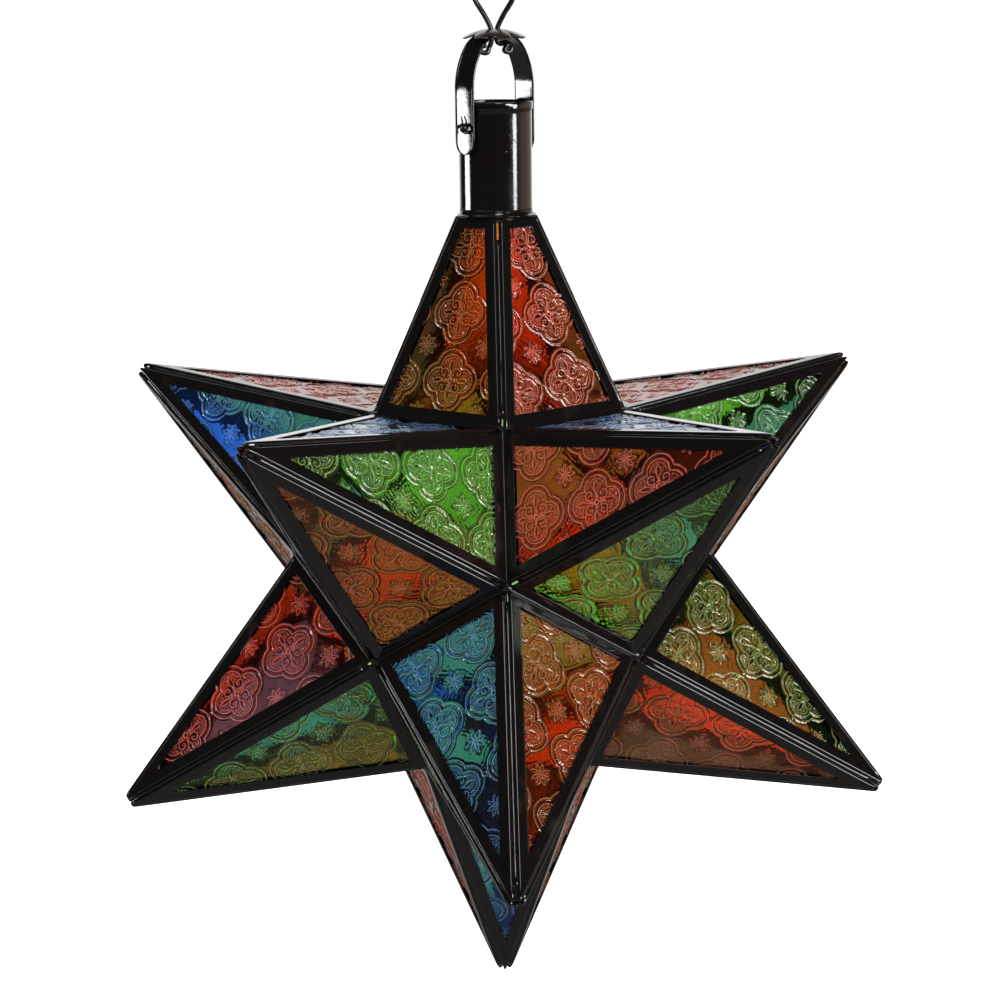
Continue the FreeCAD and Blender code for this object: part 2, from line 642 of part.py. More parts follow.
def leaf(label, side, spans):
    """side +1 = door leaf, -1 = body leaf; spans = knuckle stretches along the valley."""
    parts = []
    d = Vector(math.sin(face_half) * side, math.cos(face_half), 0)     # up the face
    n = Vector(-math.cos(face_half) * side, math.sin(face_half), 0)    # away from the face
    for j, (s0, s1) in enumerate(spans):
        base = V.multVec(Vector(0, off, s0))
        ax = V.Rotation.multVec(Vector(0, 0, 1))
        tube = cyl("%s_k%d" % (label, j), "Dims.knuckle", "%s" % (s1 - s0), along_dir(base, ax))
        parts.append(tube)
        # leaf plate of this stretch: lies on the channel flange
        gap = off * math.sin(face_half) - kn
        foot = off * math.cos(face_half)
        o = d * foot + n * 0.03
        x_l, y_l = d, n
        P = V.multiply(frame_matrix(Vector(o.x, o.y, s0), x_l, y_l, x_l.cross(y_l)))
        bx = doc.addObject("Part::Box", "%s_p%d" % (label, j))
        bx.Length = 4.0
        bx.Width = gap - 0.03 + 0.35
        bx.Height = s1 - s0
        flip = x_l.cross(y_l).z < 0
        if flip:
            P = V.multiply(frame_matrix(Vector(o.x, o.y, s1), x_l, y_l, x_l.cross(y_l)))
        bx.Placement = Placement(Vector(P.Base.x, P.Base.y, P.Base.z + LIFT), P.Rotation)
        parts.append(bx)
    solid = fuse(label + "_blank", parts)
    lo = min(s[0] for s in spans) - 1
    hi = max(s[1] for s in spans) + 1
    bore = cyl(label + "_bore", "Dims.knuckle_hole", "%s" % (hi - lo),
               along_dir(V.multVec(Vector(0, off, lo)), V.Rotation.multVec(Vector(0, 0, 1))))
    cut = doc.addObject("Part::Cut", label)
    cut.Base = solid
    cut.Tool = bore
    cut.Label = label
    nodes.append(cut)


leaf("hinge_leaf_door", 1, [(-6.0, 6.0)])
leaf("hinge_leaf_body", -1, [(-14.0, -6.4), (6.4, 14.0)])
pin_rod = cyl("hinge_pin_rod", "Dims.hinge_wire", "30.4",
              along_dir(V.multVec(Vector(0, off, -15.2)), V.Rotation.multVec(Vector(0, 0, 1))))
cap0 = cyl("hinge_pin_cap0", "Dims.hinge_wire*1.7", "0.7",
           along_dir(V.multVec(Vector(0, off, -15.2)), V.Rotation.multVec(Vector(0, 0, 1))))
cap1 = cyl("hinge_pin_cap1", "Dims.hinge_wire*1.7", "0.7",
           along_dir(V.multVec(Vector(0, off, 14.5)), V.Rotation.multVec(Vector(0, 0, 1))))
nodes.append(fuse("hinge_pin", [pin_rod, cap0, cap1]))

stops = []
for j, other in enumerate(("upper_left", "lower_back_left")):
    W, wl = valley("upper_back", other)
    bx = doc.addObject("Part::Box", "stop_tab%d" % j)
    bx.Length, bx.Width, bx.Height = 9.0, 0.6, 9.0
    P = W.multiply(Placement(Vector(-4.0, -3.45, -4.5), Rotation()))
    bx.Placement = Placement(Vector(P.Base.x, P.Base.y, P.Base.z + LIFT), P.Rotation)
    stops.append(bx)
comp = doc.addObject("Part::Compound", "door_stops")
comp.Links = stops
comp.Label = "door_stops"
nodes.append(comp)

# -------------------------------------------------------------- check, write
doc.recompute()
bad = []
for o in doc.Objects:
    if "Invalid" in o.State or "Error" in o.State:
        bad.append((o.Label, o.State))
for o in nodes:
    s = o.Shape
    if s.isNull() or not s.isValid() or len(s.Solids) == 0:
        bad.append((o.Label, "shape"))
if bad:
    raise RuntimeError("unsound: %s" % bad[:12])
os.makedirs("parts", exist_ok=True)
for o in nodes:
    o.Shape.exportStep("parts/%s.step" % o.Label)
    print(o.Label, len(o.Shape.Solids), round(o.Shape.Volume, 1))
ax = V.Rotation.multVec(Vector(0, 0, 1))
hp = V.multVec(Vector(0, off, 0))
print("HINGE", round(hp.x, 4), round(hp.y, 4), round(hp.z + LIFT, 4), round(ax.x, 6), round(ax.y, 6), round(ax.z, 6),
      "face_half", round(math.degrees(face_half), 3), "valley", round(vlen, 3))
print("fold", math.degrees(fold), "slant", slant, "half_base", half_base, "nodes", len(nodes))
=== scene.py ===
import itertools
import math

import bpy
import numpy as np
from mathutils import Matrix, Vector


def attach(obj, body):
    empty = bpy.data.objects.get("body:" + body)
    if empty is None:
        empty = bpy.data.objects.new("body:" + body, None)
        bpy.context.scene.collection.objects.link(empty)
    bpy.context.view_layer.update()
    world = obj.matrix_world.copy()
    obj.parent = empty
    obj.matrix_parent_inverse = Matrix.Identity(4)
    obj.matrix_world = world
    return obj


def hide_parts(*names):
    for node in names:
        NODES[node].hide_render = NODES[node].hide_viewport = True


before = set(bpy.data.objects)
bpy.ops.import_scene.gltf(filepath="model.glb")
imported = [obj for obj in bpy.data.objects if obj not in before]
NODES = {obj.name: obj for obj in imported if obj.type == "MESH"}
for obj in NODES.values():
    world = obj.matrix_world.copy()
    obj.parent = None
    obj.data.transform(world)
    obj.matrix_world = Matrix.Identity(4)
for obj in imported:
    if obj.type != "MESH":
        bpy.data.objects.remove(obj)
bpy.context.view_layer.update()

scene = bpy.context.scene
LIFT = -276.75          # star centre in the row frame, mm
rng = np.random.default_rng(12)

# ------------------------------------------------------------ star geometry
STAR_TIP, CORE = 204.5, 98.2
LAT = math.atan(0.5)
AZ = {"upper_front_right": (306, 1), "upper_right": (18, 1), "upper_back": (90, 1),
      "upper_left": (162, 1), "upper_front_left": (234, 1),
      "lower_front": (270, -1), "lower_right": (342, -1), "lower_back_right": (54, -1),
      "lower_back_left": (126, -1), "lower_left": (198, -1)}
TIPS = {"top": np.array([0.0, 0, 1]), "bottom": np.array([0.0, 0, -1])}
for _k, (_a, _s) in AZ.items():
    TIPS[_k] = np.array([math.cos(LAT) * math.cos(math.radians(_a)),
                         math.cos(LAT) * math.sin(math.radians(_a)),
                         math.sin(LAT) * _s])


def near(a, b):
    return a != b and TIPS[a] @ TIPS[b] > 0.4


def unit(v):
    return np.asarray(v, float) / np.linalg.norm(v)


VERTS = []
for _a, _b, _c in itertools.combinations(TIPS, 3):
    if near(_a, _b) and near(_b, _c) and near(_a, _c):
        VERTS.append(((_a, _b, _c), unit(TIPS[_a] + TIPS[_b] + TIPS[_c]) * CORE))
_v = [v for k, v in VERTS if "top" in k][0]
BASE_Z, BASE_R = _v[2], math.hypot(_v[0], _v[1])
HALF = BASE_R * math.sin(math.radians(36))
BASE_IN = BASE_R * math.cos(math.radians(36))
HEIGHT = STAR_TIP - BASE_Z
SLANT = math.hypot(HEIGHT, BASE_IN)
SIDE = math.atan2(HALF, SLANT)
N_RAD, N_AX = HEIGHT / SLANT, BASE_IN / SLANT
FOLD = math.acos(N_RAD ** 2 * math.cos(math.radians(72)) + N_AX ** 2)
DEPTH, FLANGE, SHEET = 2.8, 5.0, 0.4
RIDGE = round(DEPTH * math.tan(FOLD / 2) + 0.03, 5)
NECK_CUT = (162.9 - BASE_Z) / N_RAD
ALL_TIPS = list(TIPS)


def point_frame(name):
    z = TIPS[name]
    v0 = [v for k, v in VERTS if name in k][0]
    x = unit(v0 - z * (v0 @ z))
    return np.array([x, np.cross(z, x), z]).T       # columns: axes


def pane_frame(name, k):
    """Origin and axes (columns x along the base, y to the apex, z out) of a pane."""
    m = math.radians(36 + 72 * k)
    r = np.array([math.cos(m), math.sin(m), 0.0])
    y = np.array([-r[0] * N_AX, -r[1] * N_AX, N_RAD])
    z = np.array([r[0] * N_RAD, r[1] * N_RAD, N_AX])
    x = np.cross(y, z)
    P = point_frame(name)
    return P @ np.array([r[0] * BASE_IN, r[1] * BASE_IN, BASE_Z]), P @ np.array([x, y, z]).T


def pane_neighbour(name, k):
    n = pane_frame(name, k)[1][:, 2]
    return max((m for m in TIPS if near(name, m)), key=lambda m: n @ TIPS[m])


def half_width(y, inset):
    return HALF * (1 - y / SLANT) - inset / math.cos(SIDE)


def tip_y(inset, ht):
    return SLANT * (1 - (inset / math.cos(SIDE) + ht) / HALF)


COL = {
    "top": {"upper_front_left": "amber", "upper_front_right": "red", "upper_right": "green",
            "upper_back": "amber", "upper_left": "blue"},
    "bottom": {"lower_front": "blue", "lower_right": "amber", "lower_back_right": "red",
               "lower_back_left": "green", "lower_left": "red"},
    "upper_front_right": {"upper_front_left": "red", "lower_front": "green", "top": "blue",
                          "upper_right": "amber", "lower_right": "blue"},
    "upper_front_left": {"upper_front_right": "green", "lower_front": "amber", "top": "blue",
                         "upper_left": "red", "lower_left": "blue"},
    "lower_front": {"upper_front_right": "amber", "upper_front_left": "blue", "bottom": "red",
                    "lower_right": "green", "lower_left": "green"},
    "lower_left": {"upper_front_left": "red", "lower_front": "green", "bottom": "amber",
                   "lower_back_left": "blue", "upper_left": "amber"},
    "lower_right": {"upper_front_right": "green", "lower_front": "amber", "bottom": "blue",
                    "lower_back_right": "red", "upper_right": "amber"},
    "upper_left": {"upper_front_left": "blue", "upper_back": "green", "top": "red",
                   "lower_back_left": "blue", "lower_left": "amber"},
    "upper_right": {"upper_front_right": "green", "upper_back": "green", "top": "red",
                    "lower_back_right": "blue", "lower_right": "amber"},
    "upper_back": {"lower_back_right": "green", "lower_back_left": "green", "top": "blue",
                   "upper_right": "red", "upper_left": "amber"},
    "lower_back_right": {"upper_back": "amber", "lower_back_left": "green", "bottom": "red",
                         "upper_right": "blue", "lower_right": "red"},
    "lower_back_left": {"upper_back": "amber", "lower_back_right": "green", "bottom": "blue",
                        "lower_left": "red", "upper_left": "red"},
}


def body_of_point(name):
    return "door" if name == "upper_back" else "lantern"


def tier(name):
    return "door" if name == "upper_back" else name.split("_")[0]


# ------------------------------------------------------------- mesh helpers
def add_mesh(name, verts_mm, faces, smooth=True, uv=None, marks=None, lift=True):
    """faces: list of index arrays, each (n, 3) or (n, 4).  smooth: bool or one flag per array."""
    v = np.array(verts_mm, float)
    if lift:
        v = v + np.array([0, 0, LIFT])
    v = v / 1000.0
    me = bpy.data.meshes.new(name)
    me.vertices.add(len(v))
    me.vertices.foreach_set("co", v.astype(np.float32).ravel())
    faces = [np.asarray(f, np.int32) for f in faces if len(f)]
    loops = np.concatenate([f.ravel() for f in faces])
    totals = np.concatenate([np.full(len(f), f.shape[1], np.int32) for f in faces])
    starts = np.concatenate([[0], np.cumsum(totals)[:-1]]).astype(np.int32)
    me.loops.add(len(loops))
    me.loops.foreach_set("vertex_index", loops)
    me.polygons.add(len(totals))
    me.polygons.foreach_set("loop_start", starts)
    flags = smooth if isinstance(smooth, (list, tuple)) else [smooth] * len(faces)
    me.polygons.foreach_set("use_smooth", np.concatenate(
        [np.full(len(f), s, bool) for f, s in zip(faces, flags)]))
    if uv is not None:
        layer = me.uv_layers.new(name="Pattern")
        layer.data.foreach_set("uv", uv[loops].astype(np.float32).ravel())
    if marks is not None:
        att = me.attributes.new("Relief", "FLOAT_COLOR", "POINT")
        att.data.foreach_set("color", marks.astype(np.float32).ravel())
    me.update(calc_edges=True)
    me.validate()
    ob = bpy.data.objects.new(name, me)
    scene.collection.objects.link(ob)
    return ob


class Build:
    """Collects vertices and faces of one piece."""

    def __init__(self):
        self.v, self.q, self.t, self.n = [], [], [], 0

    def add(self, verts, quads=(), tris=()):
        verts = np.asarray(verts, float)
        self.v.append(verts)
        if len(quads):
            self.q.append(np.asarray(quads) + self.n)
        if len(tris):
            self.t.append(np.asarray(tris) + self.n)
        self.n += len(verts)

    def make(self, name, smooth=True):
        faces = []
        if self.q:
            faces.append(np.concatenate(self.q))
        if self.t:
            faces.append(np.concatenate(self.t))
        return add_mesh(name, np.concatenate(self.v), faces, smooth)


def grid_faces(rows, cols, wrap_r=False, wrap_c=False):
    r = np.arange(rows if wrap_r else rows - 1)
    c = np.arange(cols if wrap_c else cols - 1)
    R, C = np.meshgrid(r, c, indexing="ij")
    R2, C2 = (R + 1) % rows, (C + 1) % cols
    return np.stack([R * cols + C, R * cols + C2, R2 * cols + C2, R2 * cols + C], -1).reshape(-1, 4)


def catmull(points, per):
    """Smooth line through the points."""
    p = np.asarray(points, float)
    p = np.vstack([2 * p[0] - p[1], p, 2 * p[-1] - p[-2]])
    out = []
    for i in range(1, len(p) - 2):
        for t in np.linspace(0, 1, per, endpoint=False):
            a, b, c, d = p[i - 1:i + 3]
            out.append(0.5 * ((2 * b) + (c - a) * t + (2 * a - 5 * b + 4 * c - d) * t * t
                              + (3 * b - a - 3 * c + d) * t ** 3))
    out.append(p[-2])
    return np.array(out)


def tube(build, path, radius, seg=12, cap=True, flat=1.0, lump=0.0, seed=0):
    """Round wire along a path (mm)."""
    p = np.asarray(path, float)
    n = len(p)
    t = np.gradient(p, axis=0)
    t /= np.linalg.norm(t, axis=1)[:, None]
    ref = np.array([0, 0, 1.0]) if abs(t[0][2]) < 0.9 else np.array([1.0, 0, 0])
    u = unit(np.cross(t[0], ref))
    rings, r = [], np.broadcast_to(radius, (n,)).astype(float).copy()
    if lump:
        g = np.random.default_rng(seed)
        r = r * (1 + lump * np.interp(np.arange(n), np.linspace(0, n - 1, max(3, n // 3)),
                                      g.normal(size=max(3, n // 3))))
    ang = np.linspace(0, 2 * math.pi, seg, endpoint=False)
    path_list, rad_list, tan_list = list(p), list(r), list(t)
    if cap:
        for f, rr in ((0.55, 0.82), (0.92, 0.38)):
            path_list.insert(0, p[0] - t[0] * r[0] * f)
            rad_list.insert(0, r[0] * rr)
            tan_list.insert(0, t[0])
            path_list.append(p[-1] + t[-1] * r[-1] * f)
            rad_list.append(r[-1] * rr)
            tan_list.append(t[-1])
    u = unit(u - tan_list[0] * (u @ tan_list[0]))
    for q, rr, tt in zip(path_list, rad_list, tan_list):
        u = unit(u - tt * (u @ tt))
        w = np.cross(tt, u)
        rings.append(q + rr * (np.cos(ang)[:, None] * u + flat * np.sin(ang)[:, None] * w))
    m = len(rings)
    verts = np.concatenate(rings + [[path_list[0]], [path_list[-1]]])
    quads = grid_faces(m, seg, wrap_c=True)[:, ::-1]
    a = np.arange(seg)
    tris = np.concatenate([
        np.stack([np.full(seg, m * seg), a, (a + 1) % seg], 1)[:, ::-1] * 1,
        np.stack([np.full(seg, m * seg + 1), (m - 1) * seg + a, (m - 1) * seg + (a + 1) % seg], 1)])
    # orientation is put right by recalculation later
    build.add(verts, quads, tris)


def outward(ob):
    import bmesh
    bm = bmesh.new()
    bm.from_mesh(ob.data)
    bmesh.ops.recalc_face_normals(bm, faces=bm.faces)
    bm.to_mesh(ob.data)
    bm.free()
    return ob


def smooth_noise(x, seed, scale):
    """One-dimensional smooth noise, about -1 to 1."""
    g = np.random.default_rng(seed)
    knots = g.uniform(-1, 1, 512)
    s = np.asarray(x, float) / scale + 200
    i = np.floor(s).astype(int)
    f = s - i
    f = f * f * (3 - 2 * f)
    return knots[i % 512] * (1 - f) + knots[(i + 1) % 512] * f


# ---------------------------------------------------------------- materials
def new_mat(name):
    m = bpy.data.materials.new(name)
    m.use_nodes = True
    nt = m.node_tree
    bsdf = next(n for n in nt.nodes if n.type == "BSDF_PRINCIPLED")
    return m, nt, bsdf


def node(nt, kind, **kw):
    n = nt.nodes.new(kind)
    for k, v in kw.items():
        if k in n.inputs:
            n.inputs[k].default_value = v
        else:
            setattr(n, k, v)
    return n


def math_node(nt, op, a, b=None, c=None, clamp=False):
    n = nt.nodes.new("ShaderNodeMath")
    n.operation = op
    n.use_clamp = clamp
    for i, v in enumerate((a, b, c)):
        if v is None:
            continue
        if isinstance(v, (int, float)):
            n.inputs[i].default_value = v
        else:
            nt.links.new(v, n.inputs[i])
    return n.outputs[0]


def ramp(nt, fac, stops):
    r = nt.nodes.new("ShaderNodeValToRGB")
    nt.links.new(fac, r.inputs["Fac"])
    el = r.color_ramp.elements
    while len(el) < len(stops):
        el.new(0.5)
    for e, (p, c) in zip(el, stops):
        e.position = p
        e.color = (c, c, c, 1) if isinstance(c, (int, float)) else (*c, 1)
    return r.outputs["Color"]


def noise(nt, scale, detail=3.0, rough=0.5, vec=None, distortion=0.0):
    n = nt.nodes.new("ShaderNodeTexNoise")
    n.inputs["Scale"].default_value = scale
    n.inputs["Detail"].default_value = detail
    n.inputs["Roughness"].default_value = rough
    n.inputs["Distortion"].default_value = distortion
    if vec is None:
        tc = nt.nodes.new("ShaderNodeTexCoord")
        vec = tc.outputs["Object"]
    nt.links.new(vec, n.inputs["Vector"])
    return n.outputs["Fac"]


def mix_col(nt, fac, a, b):
    n = nt.nodes.new("ShaderNodeMix")
    n.data_type = "RGBA"
    nt.links.new(fac, n.inputs["Factor"])
    for sock, v in ((n.inputs[6], a), (n.inputs[7], b)):
        if isinstance(v, tuple):
            sock.default_value = (*v, 1)
        else:
            nt.links.new(v, sock)
    return n.outputs[2]


def paint_material(name, rough=(0.06, 0.17), tone=(0.0036, 0.0030, 0.0028), worn=(0.016, 0.010, 0.007),
                   bump=0.10, wear=0.62):
    m, nt, b = new_mat(name)
    big = noise(nt, 42.0, 4.0, 0.6)
    fine = noise(nt, 420.0, 3.0, 0.6)
    peel = noise(nt, 950.0, 2.0, 0.5)
    patch = ramp(nt, big, [(wear, 0.0), (wear + 0.12, 1.0)])
    nt.links.new(mix_col(nt, patch, tone, worn), b.inputs["Base Color"])
    lo, hi = rough
    rg = nt.nodes.new("ShaderNodeMapRange")
    nt.links.new(math_node(nt, "ADD", math_node(nt, "MULTIPLY", big, 0.6), math_node(nt, "MULTIPLY", fine, 0.4)),
                 rg.inputs["Value"])
    rg.inputs["From Min"].default_value = 0.35
    rg.inputs["From Max"].default_value = 0.72
    rg.inputs["To Min"].default_value = lo
    rg.inputs["To Max"].default_value = hi
    nt.links.new(rg.outputs["Result"], b.inputs["Roughness"])
    b.inputs["IOR"].default_value = 1.5
    b.inputs["Coat Weight"].default_value = 0.25
    b.inputs["Coat Roughness"].default_value = 0.06
    bp = node(nt, "ShaderNodeBump", Strength=bump, Distance=0.0004)
    hsum = math_node(nt, "ADD", math_node(nt, "MULTIPLY", fine, 0.7), math_node(nt, "MULTIPLY", peel, 0.3))
    nt.links.new(hsum, bp.inputs["Height"])
    nt.links.new(bp.outputs["Normal"], b.inputs["Normal"])
    return m


def metal_material(name, tone, stain, rough=(0.22, 0.45), scale=60.0, cut=0.55, brushed=False):
    m, nt, b = new_mat(name)
    big = noise(nt, scale, 5.0, 0.6, distortion=0.6)
    fine = noise(nt, scale * 9, 3.0, 0.6)
    patch = ramp(nt, big, [(cut - 0.1, 0.0), (cut + 0.14, 1.0)])
    nt.links.new(mix_col(nt, patch, tone, stain), b.inputs["Base Color"])
    b.inputs["Metallic"].default_value = 1.0
    rg = nt.nodes.new("ShaderNodeMapRange")
    nt.links.new(fine, rg.inputs["Value"])
    rg.inputs["From Min"].default_value = 0.3
    rg.inputs["From Max"].default_value = 0.7
    rg.inputs["To Min"].default_value = rough[0]
    rg.inputs["To Max"].default_value = rough[1]
    nt.links.new(rg.outputs["Result"], b.inputs["Roughness"])
    bp = node(nt, "ShaderNodeBump", Strength=0.15, Distance=0.0003)
    nt.links.new(fine, bp.inputs["Height"])
    nt.links.new(bp.outputs["Normal"], b.inputs["Normal"])
    return m


GLASS_T = {"red": (0.82, 0.115, 0.060), "amber": (0.60, 0.170, 0.012),
           "green": (0.30, 0.60, 0.15), "blue": (0.11, 0.34, 0.78)}


def glass_material(name, rgb):
    m, nt, b = new_mat(name)
    tc = nt.nodes.new("ShaderNodeTexCoord")
    obj = tc.outputs["Object"]
    cloud = noise(nt, 26.0, 3.0, 0.55, vec=obj)
    grain = noise(nt, 320.0, 2.0, 0.5, vec=obj)
    at = nt.nodes.new("ShaderNodeAttribute")
    at.attribute_name = "Relief"
    ch = nt.nodes.new("ShaderNodeSeparateColor")
    nt.links.new(at.outputs["Color"], ch.inputs[0])
    # Relief channels: crest mask (painted highlight), slope mask for steep slopes and sunk diamonds (painted shade),
    # dotted field
    lines, slope_shade, field = ch.outputs[0], ch.outputs[1], ch.outputs[2]
    # dashes round the rim of each medallion and dots inside it, from the pattern coordinates
    uvn = nt.nodes.new("ShaderNodeUVMap")
    uvn.uv_map = "Pattern"
    sp = nt.nodes.new("ShaderNodeSeparateXYZ")
    nt.links.new(uvn.outputs[0], sp.inputs[0])
    fold = []
    for s_ in (sp.outputs[0], sp.outputs[1]):
        fold.append(math_node(nt, "ABSOLUTE", math_node(nt, "SUBTRACT", s_, math_node(nt, "ROUND", s_))))
    lx = math_node(nt, "SUBTRACT", math_node(nt, "MAXIMUM", fold[0], fold[1]), 0.205)
    ly = math_node(nt, "MINIMUM", fold[0], fold[1])
    rad = math_node(nt, "SQRT", math_node(nt, "ADD", math_node(nt, "MULTIPLY", lx, lx), math_node(nt, "MULTIPLY", ly, ly)))
    ang = math_node(nt, "ARCTAN2", ly, lx)
    dash = math_node(nt, "COSINE", math_node(nt, "MULTIPLY", ang, 30.0))
    ring = math_node(nt, "SUBTRACT", 1.0, math_node(nt, "DIVIDE", math_node(
        nt, "ABSOLUTE", math_node(nt, "SUBTRACT", rad, 0.130)), 0.026), clamp=True)
    dash = math_node(nt, "MULTIPLY", math_node(nt, "ADD", dash, 0.55, clamp=True), math_node(nt, "MULTIPLY", ring, 2.0, clamp=True))
    dots = math_node(nt, "MULTIPLY",
                     math_node(nt, "COSINE", math_node(nt, "MULTIPLY", sp.outputs[0], 2 * math.pi / 0.038)),
                     math_node(nt, "COSINE", math_node(nt, "MULTIPLY", sp.outputs[1], 2 * math.pi / 0.038)))
    dots = math_node(nt, "MULTIPLY", math_node(nt, "ADD", dots, 0.35, clamp=True),
                     math_node(nt, "LESS_THAN", rad, 0.098))
    fine = math_node(nt, "MULTIPLY", math_node(nt, "MAXIMUM", dash, dots), field)

    def M(op, *a, clamp=False):
        return math_node(nt, op, *a, clamp=clamp)

    def L(x, w):
        return M("MULTIPLY", M("SUBTRACT", 1.0, M("DIVIDE", M("ABSOLUTE", x), w), clamp=True), 1.8, clamp=True)

    def length(x, y):
        return M("SQRT", M("ADD", M("MULTIPLY", x, x), M("MULTIPLY", y, y)))

    def almond(a0, a1, mid, half, swell, w):
        s1 = M("DIVIDE", M("SUBTRACT", a0, mid), half)
        wide = M("MULTIPLY", M("SUBTRACT", 1.0, M("MULTIPLY", s1, s1), clamp=True), swell)
        return M("MULTIPLY", L(M("SUBTRACT", a1, wide), w), M("LESS_THAN", M("ABSOLUTE", s1), 1.09))

    mx, mn = M("MAXIMUM", fold[0], fold[1]), M("MINIMUM", fold[0], fold[1])
    drawn = [L(M("SUBTRACT", rad, 0.252), 0.0115), L(M("SUBTRACT", rad, 0.176), 0.0105)]
    petals = almond(mx, mn, 0.215, 0.098, 0.034, 0.0100)
    qx, qy = M("SUBTRACT", fold[0], 0.112), M("SUBTRACT", fold[1], 0.112)
    qr = length(qx, qy)
    qa = M("MODULO", M("ADD", M("ARCTAN2", qy, qx), math.pi * 2.75), 2 * math.pi)
    sw = M("ADD", M("MULTIPLY", qa, 0.046 / (2 * math.pi)), 0.034)
    curls = M("MULTIPLY", M("MAXIMUM", L(M("SUBTRACT", qr, sw), 0.0105), L(qr, 0.015)), M("LESS_THAN", qr, 0.088))
    cd = M("ADD", fold[0], fold[1])
    centre = M("MULTIPLY", L(M("SUBTRACT", cd, 0.046), 0.014), M("LESS_THAN", cd, 0.062))
    stem = M("MULTIPLY", L(M("SUBTRACT", mn, 0.010), 0.008),
             M("MULTIPLY", M("GREATER_THAN", mx, 0.05), M("LESS_THAN", mx, 0.120)))
    drawn += [petals, curls, centre, stem]
    fxy = [M("ABSOLUTE", M("SUBTRACT", M("FRACT", s_), 0.5)) for s_ in (sp.outputs[0], sp.outputs[1])]
    m2, n2 = M("MAXIMUM", fxy[0], fxy[1]), M("MINIMUM", fxy[0], fxy[1])
    drawn.append(almond(m2, n2, 0.096, 0.064, 0.022, 0.0088))
    drawn.append(almond(M("MULTIPLY", M("ADD", m2, n2), 0.7071), M("MULTIPLY", M("SUBTRACT", m2, n2), 0.7071),
                        0.096, 0.064, 0.022, 0.0088))
    drawn.append(L(M("SUBTRACT", length(m2, n2), 0.018), 0.010))
    crisp = drawn[0]
    for q_ in drawn[1:]:
        crisp = M("MAXIMUM", crisp, q_)
    lines = M("MAXIMUM", M("MULTIPLY", lines, 0.22), crisp)
    # painted highlight: crest lines, dashes and dots are mixed toward a pale tint, standing in for glints of the
    # studio light on the relief
    painted_highlight = math_node(nt, "MAXIMUM", lines, math_node(nt, "MULTIPLY", fine, 0.75))
    thin = tuple(min(1.0, c * 1.12 + 0.02) for c in rgb)
    deep = tuple(c * 0.84 for c in rgb)
    pale = tuple(min(1.0, 1.0 * c + 0.13) for c in rgb)
    dark = tuple(c * 0.26 for c in rgb)
    fac = ramp(nt, cloud, [(0.36, 0.0), (0.66, 1.0)])
    col = mix_col(nt, fac, thin, deep)
    # painted shade: steep relief slopes and the sunk diamonds are darkened toward the dark tint
    col = mix_col(nt, math_node(nt, "MULTIPLY", slope_shade, 0.66), col, dark)
    # painted shade: the field between the raised dots is darkened toward the dark tint
    dot_gap_shade = math_node(nt, "MULTIPLY", field, math_node(nt, "SUBTRACT", 1.0, fine, clamp=True))
    col = mix_col(nt, math_node(nt, "MULTIPLY", dot_gap_shade, 0.26), col, dark)
    plain = math_node(nt, "MULTIPLY", math_node(nt, "GREATER_THAN", rad, 0.258), 0.30)
    col = mix_col(nt, plain, col, dark)
    col = mix_col(nt, math_node(nt, "MULTIPLY", painted_highlight, 0.85), col, pale)
    nt.links.new(col, b.inputs["Base Color"])
    # painted highlight: the same mask takes transmission away for a pale diffuse part, more on the red panes where the
    # upper-left light falls
    nt.links.new(math_node(nt, "SUBTRACT", 1.0, math_node(nt, "MULTIPLY", painted_highlight, 0.30 if name.endswith("red") else 0.21)), b.inputs["Transmission Weight"])
    b.inputs["IOR"].default_value = 1.48
    b.inputs["Specular IOR Level"].default_value = 0.22
    rg = nt.nodes.new("ShaderNodeMapRange")
    nt.links.new(grain, rg.inputs["Value"])
    rg.inputs["From Min"].default_value = 0.35
    rg.inputs["From Max"].default_value = 0.7
    rg.inputs["To Min"].default_value = 0.015
    rg.inputs["To Max"].default_value = 0.07
    nt.links.new(rg.outputs["Result"], b.inputs["Roughness"])
    bp = node(nt, "ShaderNodeBump", Strength=0.35, Distance=0.0003)
    nt.links.new(math_node(nt, "ADD", math_node(nt, "MULTIPLY", grain, 0.35), fine), bp.inputs["Height"])
    nt.links.new(bp.outputs["Normal"], b.inputs["Normal"])
    return m


BLACK = paint_material("black_paint")
BLACK_SOLDER = paint_material("black_solder", rough=(0.08, 0.22), bump=0.25, wear=0.66)
BLACK_STRAP = paint_material("black_strap", rough=(0.05, 0.16), bump=0.16, wear=0.7)
WIRE_PAINT = paint_material("wire_paint", rough=(0.18, 0.38), tone=(0.007, 0.005, 0.004),
                            worn=(0.03, 0.018, 0.012), bump=0.3, wear=0.52)
TINNED = metal_material("tinned_steel", (0.60, 0.58, 0.54), (0.16, 0.145, 0.13))
PLAIN_WIRE = metal_material("plain_wire", (0.47, 0.45, 0.42), (0.17, 0.13, 0.10), scale=140.0)
GLASS = {k: glass_material("glass_" + k, v) for k, v in GLASS_T.items()}


def use(ob, mat):
    ob.data.materials.clear()
    ob.data.materials.append(mat)
    return ob


# ------------------------------------------------------------ embossed glass
PITCH = 30.0


def line(d, w):
    """Rounded ridge around distance 0 with half width w."""
    t = np.clip(1 - (d / w) ** 2, 0, 1)
    return t * np.sqrt(t)


